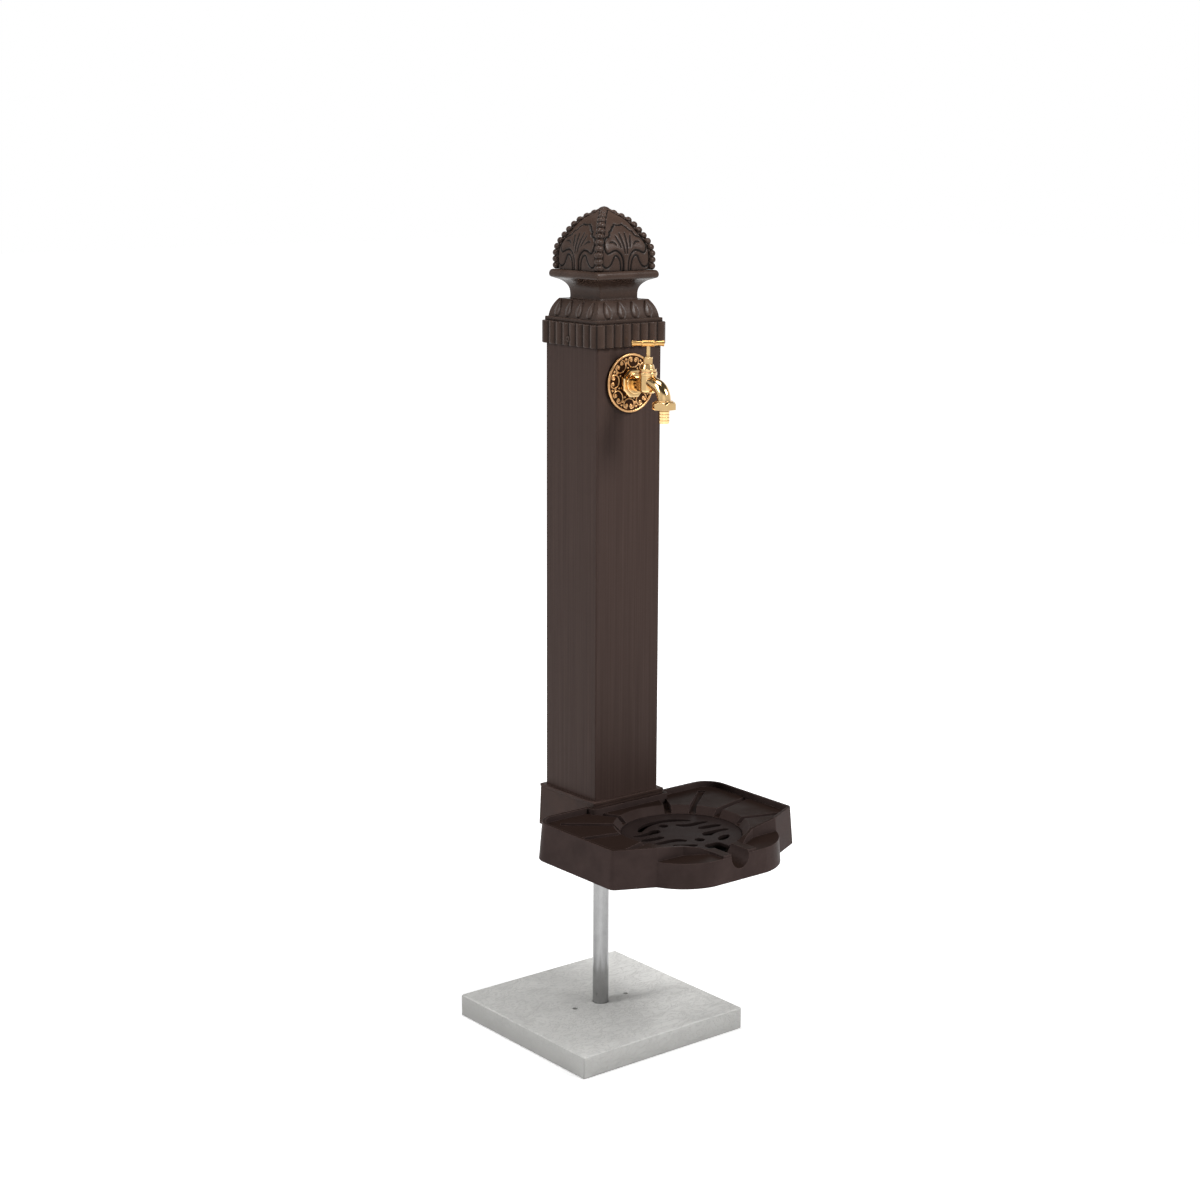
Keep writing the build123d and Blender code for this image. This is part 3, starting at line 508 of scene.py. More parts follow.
def quarter_turns(points, turn):
    """Points turned by quarter turns about the post's axis."""
    spots = np.array(points, float)
    for _ in range(turn):
        spots = np.column_stack([-spots[:, 1], spots[:, 0], spots[:, 2]])
    return spots


def square_loop(half, height):
    """One rounded square around the axis, as points."""
    straight = half - LOOP_CORNER
    side = [(half, y, height) for y in np.linspace(-straight, straight, LOOP_SIDE_POINTS)]
    for a in np.linspace(0, math.pi / 2, LOOP_ARC_STEPS + 1)[1:-1]:
        side.append((straight + LOOP_CORNER * math.cos(a), straight + LOOP_CORNER * math.sin(a), height))
    return np.vstack([quarter_turns(side, turn) for turn in range(4)])


def lathe(shell, profile, centre, turn):
    """A turned form round a level axis: places along it and radii, set at an angle about the upright."""
    ahead = np.array([math.cos(turn), math.sin(turn), 0.0])
    aside = np.array([-math.sin(turn), math.cos(turn), 0.0])
    points = []
    for along, radius in profile:
        for a in np.linspace(0, 2 * math.pi, LATHE_STEPS, endpoint=False):
            around = math.cos(a) * aside + (0, 0, math.sin(a))
            points.append(centre + ahead * along + radius * around)
    shell.add(points, patch(len(profile), LATHE_STEPS, closed=True))


# Finial
PLATE_TOP = 1165.5
DOME_PROFILE = [(50.5, 0), (51.0, 12.7), (50.3, 27.3), (46.7, 39.1), (37.5, 55.5), (25.0, 72.8), (0, 90.6)]
DOME_ROWS, DOME_COLUMNS = 170, 150
NECK_FLOOR = (0, -43)
NECK_PROFILE = [(36.6, -43), (35.3, -41.5), (35.2, -36), (35.6, -31), (37.0, -26), (40.2, -20.8),
                (45.5, -16.4), (51.0, -14.0), (53.6, -12.9)]
NOSE_PROFILE = [(54.6, -12.6), (56.4, -11.2), (57.2, -8.9), (57.3, -6.4), (56.6, -3.6), (55.2, -1.6),
                (53.6, -0.7)]
PLATE_INSIDE = (20, -0.7)
STEM_LINE = [(9.3, -1), (10, 9), (12.6, 17), (17.2, 21.6), (21.3, 20.6), (24.2, 15), (28.2, 8.6), (32, 5.2),
             (35.6, 4.4), (39.5, 5.6), (43.8, 10.5)]
LEAF_LINE = [(4.6, -1), (4.8, 11.5), (6.4, 18.7), (10, 24.3), (15.2, 28.2), (18.4, 29.2), (24.1, 28.2),
             (29.8, 25.7), (33.9, 25), (37.2, 28.6), (38.6, 34.3), (36.6, 41.5), (33.4, 46.2), (28.8, 49.6)]
LOBE_LINES = [
    [(28.8, 49.6), (25.6, 50.2), (23.2, 52.2), (21.7, 55.2), (21.2, 58)],
    [(21.2, 58), (18.6, 58.8), (16.2, 60.6), (14.1, 63), (12.6, 66)],
    [(12.6, 66), (10.8, 66.4), (9.0, 67.8), (7.2, 70.2)],
    [(7.2, 70.2), (4.4, 69.2), (2, 68.7), (0, 68.5)],
]
VEINS = [
    [(5.0, 55), (3.6, 40), (2.2, 24)],
    [(13.8, 51), (10.8, 42), (8.4, 33)],
    [(27.4, 41), (21, 41.2), (16, 36.8)],
]
PALMETTE_HEIGHT, PALMETTE_SHOULDER = 1.3, 2.2
OUTLINE_DEPTH, OUTLINE_WIDTH = 1.6, 1.25
VEIN_DEPTH, VEIN_WIDTH, VEIN_BELLY = 1.3, 0.5, 0.9
BAND_REACH, BAND_DEPTH, BAND_WIDTH = 8.0, 1.4, 0.9
BAND_CLEAR, BAND_BLUR, FACE_FADE = 0.8, 0.35, 2.0
# Groove depth at which the painted shade is darkest.
FULL_SHADE_DEPTH = 1.2
RUNG_COUNT, RUNG_RING, RUNG_STATIONS = 12, 14, 17
RUNG_BEND, RUNG_BLUNTNESS, RUNG_SPAN, RUNG_DROOP = 2.6, 3.2, 0.92, 3.2
RUNG_SINK, RUNG_CLEAR, RUNG_SHARE = 0.6, 0.4, 0.8
# How far a roll stands out, and its thickness as a share of the step, by the dome's half width
RUNG_OUT = (0, 36.0), (0.7, 4.6)
RUNG_THICK = (0, 30.0), (0.40, 0.54)


def palmette_relief(spots):
    """Height of the palmette over the dome's face, from places across the face and up along it."""
    spots = np.column_stack([np.abs(spots[:, 0]), spots[:, 1]])
    border = np.vstack([smooth_curve(LEAF_LINE, 6), *(smooth_curve(line, 5) for line in LOBE_LINES)])
    away, _ = distance_to(border, spots)
    within = inside(np.vstack([border, [(0, -1)]]), spots)
    body = PALMETTE_HEIGHT * (1 - np.exp(-away / PALMETTE_SHOULDER)) * within
    stem_away, _ = distance_to(smooth_curve(STEM_LINE, 6), spots)
    cut = groove(OUTLINE_DEPTH, OUTLINE_WIDTH, np.minimum(away, stem_away))
    for vein in VEINS:
        line_away, share = distance_to(smooth_curve(vein, 8), spots)
        width = VEIN_WIDTH + VEIN_BELLY * np.sin(np.pi * np.clip(share * 0.85 + 0.1, 0, 1))
        cut = np.minimum(cut, groove(VEIN_DEPTH, width, line_away))
    return body + cut, cut


def dome_line():
    """The dome's profile: the run along it, with the half width and the height at each point."""
    profile = smooth_curve(DOME_PROFILE, 40)
    run = np.concatenate([[0], np.cumsum(np.hypot(*np.diff(profile, axis=0).T))])
    return run, profile[:, 0], profile[:, 1]


def dome_face(turn):
    """One face of the dome with its palmette, and its place around the axis."""
    run, halves, rises = dome_line()
    along = np.linspace(0, run[-1], DOME_ROWS)
    half = np.interp(along, run, halves)
    rise = np.interp(along, run, rises)
    lean, climb = (np.gradient(line, along)[:, None] for line in (half, rise))
    half, rise = half[:, None], rise[:, None]
    x = half * np.linspace(-1, 1, DOME_COLUMNS)
    spots = np.column_stack([x.ravel(), np.repeat(along, DOME_COLUMNS)])
    height, cut = (layer.reshape(x.shape) for layer in palmette_relief(spots))
    to_band = (half - BAND_REACH) - np.abs(x)
    clear = 1 / (1 + np.exp(-(to_band - BAND_CLEAR) / BAND_BLUR))
    band_cut = groove(BAND_DEPTH, BAND_WIDTH, to_band)
    height = (height * clear + band_cut) * np.clip((half - np.abs(x)) / FACE_FADE, 0, 1)
    # Painted shade in the palmette's grooves and the band groove, darker where they are deeper.
    groove_shade = np.clip(-np.minimum(cut * clear, band_cut) / FULL_SHADE_DEPTH, 0, 1)
    y = -half - height * climb
    z = PLATE_TOP + rise - height * lean
    points = np.column_stack([x.ravel(), y.ravel(), z.ravel()])
    return quarter_turns(points, turn), patch(*x.shape), groove_shade.ravel()


def loft(shell, profile):
    """A square moulding: rounded squares that follow a profile of half width and height over the plate."""
    loops = [square_loop(half, PLATE_TOP + height) for half, height in profile]
    shell.add(np.vstack(loops), patch(len(loops), len(loops[0]), closed=True))


def rung(shell, edge, run, half_length, out, thick, droop, turn):
    """One roll of the ridge, bent round the edge between two faces; run is the edge's direction."""
    points = []
    for u in np.linspace(-1, 1, RUNG_STATIONS):
        bend = 0.5 + 0.5 * math.tanh(RUNG_BEND * u)
        normal = unit(np.array([1 - bend, -bend, 0.0]))
        inward = np.array([-max(u, 0), max(-u, 0), 0.0])
        size = math.sqrt(max(1 - abs(u) ** RUNG_BLUNTNESS, 0.0))
        centre = edge + inward * half_length * RUNG_SPAN - run * droop * abs(u)
        normal = unit(normal - run * (normal @ run))
        for a in np.linspace(0, 2 * math.pi, RUNG_RING, endpoint=False):
            points.append(centre + size * (out * math.cos(a) * normal + thick * math.sin(a) * run))
    shell.add(quarter_turns(points, turn), patch(RUNG_STATIONS, RUNG_RING, closed=True))


def ridge(shell, turn):
    """The row of rolls up one edge of the dome."""
    run, halves, rises = dome_line()
    step = 0.5
    for number in range(RUNG_COUNT):
        at = run[-1] * (number + 0.5) / RUNG_COUNT
        half = np.interp(at, run, halves)
        rise = np.interp(at, run, rises)
        lean = (np.interp(at + step, run, halves) - half) / step
        climb = (np.interp(at + step, run, rises) - rise) / step
        edge = np.array([half - RUNG_SINK, -half + RUNG_SINK, PLATE_TOP + rise])
        length = min(BAND_REACH - RUNG_CLEAR, RUNG_SHARE * half)
        out = np.interp(half, *RUNG_OUT)
        thick = run[-1] / RUNG_COUNT * np.interp(half, *RUNG_THICK)
        droop = RUNG_DROOP * (number / RUNG_COUNT) ** 2
        rung(shell, edge, unit(np.array([lean, -lean, climb])), length, out, thick, droop, turn)


# Grate
GRATE_RADIUS, GRATE_EDGE_POINTS = 89.0, 140
GRATE_BEVEL = 0.5
NOTCH_HALF, NOTCH_DEPTH, NOTCH_CORNER = 15.0, 25.0, 8.0
WAVES = [
    [(19.5, 33, 3.0), (23, 27.5, 5.4), (29, 22.5, 6.0), (39, 20, 5.8), (51, 19.8, 5.2), (60, 18.5, 4.2),
     (65, 17, 2.6)],
    [(34.5, -0.5, 2.8), (38, -0.8, 5.2), (47, -1.8, 6.0), (57, -3, 6.0), (66, -5.4, 5.2), (70, -7, 2.8)],
    [(20.5, -30, 4.0), (24, -28.5, 7.4), (29.5, -26.8, 7.8), (37, -25.6, 6.0), (50, -25.2, 5.0),
     (60, -26.6, 4.4), (66, -28.6, 2.4)],
]
OVAL = [(22.5, -59.5, 2.0), (27, -57.5, 5.4), (35, -54, 6.6), (43, -50.8, 5.6), (48, -48.6, 2.2)]
SLOT_END = 0.7
RIM_SLOT_RADIUS = 60.4
RIM_SLOT_WIDTHS = (0.45, 0.9, 1, 1, 1, 1, 1, 0.9, 0.5)
LONG_SLOT = (37.0, 139.0, 5.8)
SHORT_SLOT = (219.0, 251.0, 5.2)
HOLE_REACH, HOLE_RADIUS = 41.0, 7.4


def slot_outline(spine):
    """A closed outline round a line of points that each have their own half width."""
    smooth = smooth_curve(spine, 5)
    line, half = smooth[:, :2], smooth[:, 2:]
    run = np.gradient(line, axis=0)
    run /= np.hypot(*run.T)[:, None]
    out = np.column_stack([-run[:, 1], run[:, 0]]) * half
    start = line[:1] - run[:1] * half[0] * SLOT_END
    end = line[-1:] + run[-1:] * half[-1] * SLOT_END
    return np.vstack([start, line + out, end, (line - out)[::-1]])


def arc_points(radius, start, end, count):
    """Points on an arc round the origin, from one angle in degrees to the other."""
    turn = np.radians(np.linspace(start, end, count))
    return np.column_stack([radius * np.cos(turn), radius * np.sin(turn)])


def rim_slot(start, end, half):
    """A slot that follows the grate's rim and narrows at its ends."""
    line = arc_points(RIM_SLOT_RADIUS, start, end, len(RIM_SLOT_WIDTHS))
    return slot_outline([(x, y, half * share) for (x, y), share in zip(line, RIM_SLOT_WIDTHS)])


def grate_outlines():
    """The plate's edge with its notch, then every slot and hole."""
    reach = math.degrees(math.asin(NOTCH_HALF / GRATE_RADIUS))
    edge = arc_points(GRATE_RADIUS, -90 + reach, 270 - reach, GRATE_EDGE_POINTS)
    corner_middle = (NOTCH_CORNER - NOTCH_HALF, NOTCH_DEPTH - GRATE_RADIUS - NOTCH_CORNER)
    corner = arc_points(NOTCH_CORNER, 180, 90, 8) + corner_middle
    outlines = [np.vstack([edge, corner, (corner * (-1, 1))[::-1]])]
    half_turn = np.array([-1.0, -1.0])
    for spine in WAVES:
        outlines += [slot_outline(spine), slot_outline(spine) * half_turn]
    hole = arc_points(HOLE_RADIUS, 0, 345, 24) + (0, HOLE_REACH)
    outlines += [hole, hole * half_turn, slot_outline(OVAL), rim_slot(*LONG_SLOT), rim_slot(*SHORT_SLOT)]
    return outlines


def grate_plate(finish, middle, bottom, top):
    """The loose grate: a flat plate with wave slots, softened along every edge."""
    flat = bpy.data.curves.new("grate_plate", "CURVE")
    flat.dimensions = "2D"
    flat.fill_mode = "BOTH"
    flat.bevel_depth = GRATE_BEVEL * MM
    flat.bevel_resolution = 2
    flat.extrude = (top - bottom) / 2 - flat.bevel_depth
    flat.offset = -flat.bevel_depth
    for outline in grate_outlines():
        spline = flat.splines.new("POLY")
        spline.points.add(len(outline) - 1)
        for point, (x, y) in zip(spline.points, outline):
            point.co = (x * MM, y * MM, 0.0, 1.0)
        spline.use_cyclic_u = True
    drawn = new_object("grate_drawing", flat)
    mesh = bpy.data.meshes.new_from_object(drawn.evaluated_get(bpy.context.evaluated_depsgraph_get()))
    bpy.data.objects.remove(drawn)
    mesh.transform(Matrix.Translation((middle.x, middle.y, (top + bottom) / 2)))
    mesh.name = "grate_plate"
    soften(mesh, 40)
    mesh.materials.clear()
    mesh.materials.append(finish)
    plate = new_object("grate_plate", mesh)
    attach(plate, "grate")
    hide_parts("grate")


# Collar
COLLAR_COLUMNS = 193
SOCKET_HALF, SOCKET_TOP = 60.35, 1084.0
SKIRT_HALF, SKIRT_BOTTOM, SKIRT_TOP, SKIRT_ROUND, SKIRT_ROWS = 64.4, 1057.0, 1090.0, 0.7, 48
LEDGE_PROFILE = [(61.0, 1090.0), (61.3, 1090.5), (61.3, 1095.1), (61.05, 1095.75), (60.4, 1096.0),
                 (58.0, 1096.0)]
LEDGE_TOP, COLLAR_TOP, COLLAR_INSIDE = 1096.0, 1122.5, 30.0
OVOLO_FOOT, OVOLO_TOP, OVOLO_ROWS = 57.7, 46.5, 52
OVOLO_BULGE, OVOLO_LEAN = 2.2, (0.92, 0.39)
REED_COUNT, REED_BULGE = 8, 3.0
# Painted shade in the valleys between the reeds: its strength and half width.
REED_SHADE, REED_SHADE_WIDTH = 0.9, 1.25
LEAF_PLACES = (-37.65, -12.55, 12.55, 37.65)
LEAF_FOOT, LEAF_LENGTH, LEAF_RISE = 1.6, 23.0, 2.0
LEAF_WIDTHS = [(0, 3.6), (0.12, 5.6), (0.3, 6.9), (0.5, 6.4), (0.7, 4.8), (0.88, 2.6), (1, 0.4)]
# The last value sets the painted shade along the leaf outlines.
LEAF_BELLY, LEAF_KEEL, LEAF_CUT, LEAF_SHADE = 0.75, 0.35, 0.5, 0.32
SCREW_HEIGHT, SCREW_POCKET, SCREW_SEAT = 1066.5, 4.8, 64.7
# The last value sets the painted shade in the screw pockets.
POCKET_BLUR, POCKET_SHADE = 0.6, 0.8


def leaf_relief(x, climb):
    """Height of the row of leaves over the ovolo, with cut outlines, and the painted shade along those
    outlines.
    """
    share = (climb - LEAF_FOOT) / LEAF_LENGTH
    half = np.interp(share, *zip(*LEAF_WIDTHS))
    away = np.min([np.abs(x - place) for place in LEAF_PLACES], axis=0)
    present = np.clip(share / 0.05, 0, 1) * np.clip((1.03 - share) / 0.08, 0, 1)
    belly = np.sqrt(np.clip(1 - (away / half) ** 2, 0, 1))
    keel = np.clip(1 - away / half, 0, 1) * LEAF_KEEL
    cut = np.exp(-(((away - half - 0.3) / 0.75) ** 2)) * present
    outline = cut * np.clip((share - 0.12) / 0.35, 0, 1)
    return (LEAF_RISE * (LEAF_BELLY * belly + keel) * present - LEAF_CUT * cut), outline * LEAF_SHADE


def collar_rows():
    """Outline of one side from the socket over the reeds to the top: half width, height, reeds, leaves."""
    rows = [(SOCKET_HALF, SOCKET_TOP, 0, 0), (SOCKET_HALF, SKIRT_BOTTOM, 0, 0)]
    rows.append((SKIRT_HALF - SKIRT_ROUND, SKIRT_BOTTOM, 1, 0))
    for z in np.linspace(SKIRT_BOTTOM + SKIRT_ROUND, SKIRT_TOP - SKIRT_ROUND, SKIRT_ROWS):
        rows.append((SKIRT_HALF, z, 1, 0))
    rows.append((SKIRT_HALF - SKIRT_ROUND, SKIRT_TOP, 1, 0))
    rows += [(half, z, 0, 0) for half, z in LEDGE_PROFILE]
    for t in np.linspace(0, 1, OVOLO_ROWS):
        bulge = 4 * OVOLO_BULGE * t * (1 - t)
        half = OVOLO_FOOT + (OVOLO_TOP - OVOLO_FOOT) * t + OVOLO_LEAN[0] * bulge
        rows.append((half, LEDGE_TOP + (COLLAR_TOP - LEDGE_TOP) * t + OVOLO_LEAN[1] * bulge, 0, 1))
    rows[-1] = (OVOLO_TOP, COLLAR_TOP, 0, 0)
    return np.array(rows + [(COLLAR_INSIDE, COLLAR_TOP, 0, 0)])


def collar_face(turn):
    """One side of the collar, with eight reeds on the skirt and four leaves on the ovolo."""
    half, z, reeded, leafed = (column[:, None] for column in collar_rows().T)
    share = np.linspace(-1, 1, COLLAR_COLUMNS)[None, :]
    x = half * share
    in_reed = (share + 1) / 2 * REED_COUNT % 1.0
    in_reed[0, -1] = 0.0
    out = half + reeded * 4 * REED_BULGE * in_reed * (1 - in_reed)
    edge_gap = np.minimum(in_reed, 1 - in_reed) * 2 * SKIRT_HALF / REED_COUNT
    height, cut = leaf_relief(x, z - LEDGE_TOP)
    # Painted shade along the leaf outlines and in the valleys between the reeds.
    groove_shade = leafed * cut - reeded * groove(REED_SHADE, REED_SHADE_WIDTH, edge_gap)
    slope = np.arctan2(np.gradient(z[:, 0]), np.gradient(half[:, 0]))[:, None]
    y = -out - leafed * height * np.sin(slope)
    z = z - leafed * height * np.cos(slope)
    if turn % 2:
        to_wall = SCREW_POCKET - np.hypot(x, z - SCREW_HEIGHT)
        pocket = np.clip((to_wall + POCKET_BLUR / 2) / POCKET_BLUR, 0, 1) * reeded
        y = y + pocket * (-SCREW_SEAT - y)
        # Painted shade in the screw pocket.
        groove_shade = np.maximum(groove_shade * (1 - pocket), pocket * POCKET_SHADE)
    points = np.column_stack([x.ravel(), y.ravel(), z.ravel()])
    return quarter_turns(points, turn), patch(*x.shape), groove_shade.ravel()


# Rosette
ROSETTE_RADIUS, ROSETTE_EYE, ROSETTE_BACK, ROSETTE_GROUND = 43.5, 12.0, 61.0, 63.5
ROSETTE_RINGS, ROSETTE_TURNS, FIELD_RADIUS, EDGE_STEP = 96, 720, 16.8, 0.02
# Each rim: its radius, half width and height
RIMS = ((41.4, 2.1, 2.35), (18.6, 1.3, 1.4))
MOTIF_COUNT, MOTIF_TURN = 8, 83.0
SCROLL = [(3.4, 37.0), (7.0, 36.7), (9.2, 33.8), (9.4, 30.2), (8.0, 26.4), (4.8, 23.8), (0, 22.9)]
SCROLL_WIDTH, SCROLL_BELLY, SCROLL_RISE = 0.85, 0.45, 1.7
BULB_PLACE, BULB_RADIUS, BULB_RISE = (4.2, 33.4), 3.3, 1.8
EYE_PLACE, EYE_RADIUS, EYE_DEPTH, EYE_WIDTH, EYE_LIMIT = (4.9, 33.7), 1.7, 0.55, 0.35, 2.9
# The balls, darts and bridges half way between motifs: reach from the middle, radius and height
BUTTONS = ((35.8, 2.2, 1.8), (22.6, 2.0, 1.5), (30.2, 2.3, 1.3))


def rosette_height(radius, turn):
    """Relief of the rosette at polar places: rims, scrolls with their bulbs, balls and darts."""
    cell = math.radians(360 / MOTIF_COUNT)
    off = (turn - math.radians(MOTIF_TURN) + cell / 2) % cell - cell / 2
    across, out = np.abs(radius * np.sin(off)), radius * np.cos(off)
    spots = np.column_stack([across.ravel(), out.ravel()])
    away, share = distance_to(smooth_curve(SCROLL, 6), spots)
    width = SCROLL_WIDTH + SCROLL_BELLY * np.sin(np.pi * np.clip(share, 0, 1) ** 0.6)
    height = swell(away, width, SCROLL_RISE)
    to_bulb = np.hypot(*(spots - BULB_PLACE).T)
    to_eye = np.hypot(*(spots - EYE_PLACE).T)
    eye = groove(EYE_DEPTH, EYE_WIDTH, to_eye - EYE_RADIUS) * (to_bulb < EYE_LIMIT)
    height = np.maximum(height, swell(to_bulb, BULB_RADIUS, BULB_RISE) + eye)
    half_way = np.array([math.sin(cell / 2), math.cos(cell / 2)])
    for reach, size, rise in BUTTONS:
        away = np.hypot(*(spots - reach * half_way).T)
        height = np.maximum(height, swell(away, size, rise))
    height = height.reshape(radius.shape)
    for middle, half, rise in RIMS:
        height = np.maximum(height, swell(np.abs(radius - middle), half, rise))
    return height


def rosette_relief(finish):
    """The cast rosette: a round plate with a rope of scrolls between two rims."""
    field = np.linspace(FIELD_RADIUS, ROSETTE_RADIUS - EDGE_STEP, ROSETTE_RINGS)
    turns = np.linspace(0, 2 * math.pi, ROSETTE_TURNS, endpoint=False)
    radius, turn = np.meshgrid([ROSETTE_EYE, *field], turns, indexing="ij")
    depth = ROSETTE_GROUND + rosette_height(radius, turn)
    radius = np.vstack([radius, np.full(ROSETTE_TURNS, ROSETTE_RADIUS)])
    turn = np.vstack([turn, turns])
    depth = np.vstack([depth, np.full(ROSETTE_TURNS, ROSETTE_BACK)])
    level = sum(corner.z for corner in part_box("rosette")) / 2 / MM
    x, z = radius * np.cos(turn), level + radius * np.sin(turn)
    shell = Shell()
    shell.add(np.column_stack([x.ravel(), -depth.ravel(), z.ravel()]), patch(*radius.shape, closed=True))
    shell.piece("rosette_relief", finish, "column", "rosette", sharp=60)


# Tee bar
BAR_TURN = math.radians(-38.0)
BAR_PROFILE = [(0, 4.5), (7.4, 4.5), (7.6, 4.75), (8.0, 4.95), (8.6, 4.95), (8.95, 4.7), (9.1, 3.75),
               (9.4, 3.6), (12, 3.45), (16, 3.5), (19.2, 3.85), (21.4, 4.35), (22.2, 4.6), (22.8, 4.6),
               (23.2, 4.35), (23.35, 3.6), (23.4, 0.01)]


def tee_bar(finish):
    """The tap's turned tee bar: a banded hub between two grips that swell to their ends."""
    low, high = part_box("tee_handle")
    centre = np.array((low + high) / 2 / MM)
    shell = Shell()
    for side in (0, math.pi):
        lathe(shell, BAR_PROFILE, centre, BAR_TURN + side)
    shell.piece("tee_bar", finish, "tap_spindle", "tee_handle", sharp=30)


# Settings
def colour_setting(name, description, default):
    """A colour in the settings panel."""
    return FloatVectorProperty(name=name, description=description, subtype="COLOR", size=3, default=default,
                               min=0.0, max=1.0)


class StandpipeSettings(PropertyGroup):
    post_brown: colour_setting("Post brown", "Enamel of the post and shoe", (0.054, 0.0335, 0.028))
    cap_brown: colour_setting("Cap brown", "Enamel of the collar and finial", (0.057, 0.035, 0.0265))
    basin_brown: colour_setting("Basin brown", "Enamel of the basin and grate", (0.054, 0.037, 0.034))
    tap_brass: colour_setting("Tap brass", "Polished brass of the tap", (0.88, 0.60, 0.285))
    old_brass: colour_setting("Old brass", "Antique brass of the rosette", (0.76, 0.44, 0.20))
    rosette_ground: FloatProperty(
        name="Rosette ground", description="Where the rosette's sunk ground lies in front of the post's axis",
        default=-ROSETTE_GROUND * MM, unit="LENGTH")
    concrete_grey: colour_setting("Concrete grey", "Concrete of the footing slab", (0.75, 0.745, 0.72))
    steel_grey: colour_setting("Steel grey", "Steel of the riser pipe", (0.37, 0.37, 0.37))
    floor_white: FloatProperty(
        name="Floor white", description="Paleness of the studio floor", default=0.86, min=0.0, max=1.0)
    floor_glow: FloatProperty(
        name="Floor glow", description="Light that lifts the floor by the object to white", default=0.42,
        min=0.0, max=1.0)
    floor_size: FloatProperty(
        name="Floor size", description="Side of the studio floor", default=40.0, unit="LENGTH")


def settings_of(context):
    """The settings that the panel shows."""
    return context.scene.standpipe


# Pieces
class STANDPIPE_OT_post(Operator):
    """Streaked brown enamel on the square post, and cast enamel on its base shoe"""

    bl_idname = "standpipe.post"
    bl_label = "Post and shoe"

    def execute(self, context):
        settings = settings_of(context)
        dress(["post"], streaked_enamel(settings))
        shoe = cast_enamel("Shoe enamel", settings.post_brown, recess_shade=0.35, rough=(0.40, 0.52), gloss=0.08)
        dress(["base_shoe"], shoe)
        return {"FINISHED"}


class STANDPIPE_OT_basin(Operator):
    """Cast enamel on the splash basin and its loose grate"""

    bl_idname = "standpipe.basin"
    bl_label = "Basin and grate"

    def execute(self, context):
        brown = settings_of(context).basin_brown
        low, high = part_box("grate")
        middle = (low + high) / 2
        clearance = 0.0005
        sump = ((middle.x, middle.y, 0.0), (high.x - low.x) / 2 + clearance, high.z)
        finish = cast_enamel("Basin enamel", brown, recess_shade=0.7, rough=(0.34, 0.46), gloss=0.015, sump=sump)
        dress(["basin"], finish)
        # Painted shade: the grate enamel is a darker copy of the basin's.
        finish = cast_enamel("Grate enamel", tint(brown, 0.38), recess_shade=1.0, rough=(0.36, 0.48), gloss=0.015)
        dress(["grate"], finish)
        grate_plate(finish, middle, low.z, high.z)
        return {"FINISHED"}


class STANDPIPE_OT_cap(Operator):
    """Satin cast enamel on the reeded collar, the finial and the cap's screws"""

    bl_idname = "standpipe.cap"
    bl_label = "Collar and finial"

    def execute(self, context):
        brown = settings_of(context).cap_brown
        finish = cast_enamel("Cap enamel", brown, recess_shade=1.3, rough=(0.22, 0.34), gloss=0.15)
        dress(["cap_collar", "finial", "cap_screws"], finish)
        shell = Shell()
        for turn in range(4):
            shell.add(*dome_face(turn))
            ridge(shell, turn)
        neck, nose = smooth_curve(NECK_PROFILE, 4), smooth_curve(NOSE_PROFILE, 4)
        loft(shell, [NECK_FLOOR, *neck, *nose, PLATE_INSIDE])
        shell.piece("finial_relief", finish, "column", "finial")
        shell = Shell()
        for turn in range(4):
            shell.add(*collar_face(turn))
        shell.piece("collar_relief", finish, "column", "cap_collar")
        return {"FINISHED"}


class STANDPIPE_OT_rosette(Operator):
    """Antique brass on the rosette behind the tap"""

    bl_idname = "standpipe.rosette"
    bl_label = "Rosette"

    def execute(self, context):
        finish = antique_brass(settings_of(context))
        dress(["rosette"], finish)
        rosette_relief(finish)
        return {"FINISHED"}


class STANDPIPE_OT_tap(Operator):
    """Polished brass on the tap, its headwork and the hose connection"""

    bl_idname = "standpipe.tap"
    bl_label = "Tap"

    def execute(self, context):
        colour = settings_of(context).tap_brass
        polished = brass("Polished brass", colour, rough=0.10, smudge=0.06)
        satin = brass("Satin brass", tint(colour, 0.76, 0.66, 0.50), rough=0.27, smudge=0.10)
        dress(["tap_body", "bonnet", "hose_nut", "gland_nut", "tap_spindle", "hose_tail"], polished)
        tee_bar(satin)
        dress(["tee_handle", "jumper", "tap_backnut", "backnut_washer", "riser_elbow"], satin)
        dress(["bonnet_gasket"], rubber("Fibre gasket", FIBRE_RED))
        dress(["hose_washer", "jumper_washer", "gland_packing", "rosette_gasket", "pipe_grommet"],
              rubber("Black rubber", RUBBER_BLACK))
        return {"FINISHED"}


class STANDPIPE_OT_footing(Operator):
    """Concrete on the footing slab, drawn steel on the riser pipe and zinc on the hidden screws"""

    bl_idname = "standpipe.footing"
    bl_label = "Footing and riser"

    def execute(self, context):
        settings = settings_of(context)
        dress(["footing_slab"], concrete(settings))
        dress(["riser_pipe"], drawn_steel("Drawn steel", settings.steel_grey, rough=0.12))
        dress(["post_screws", "basin_screws", "cap_bolt"], drawn_steel("Zinc plate", ZINC, rough=0.35))
        return {"FINISHED"}


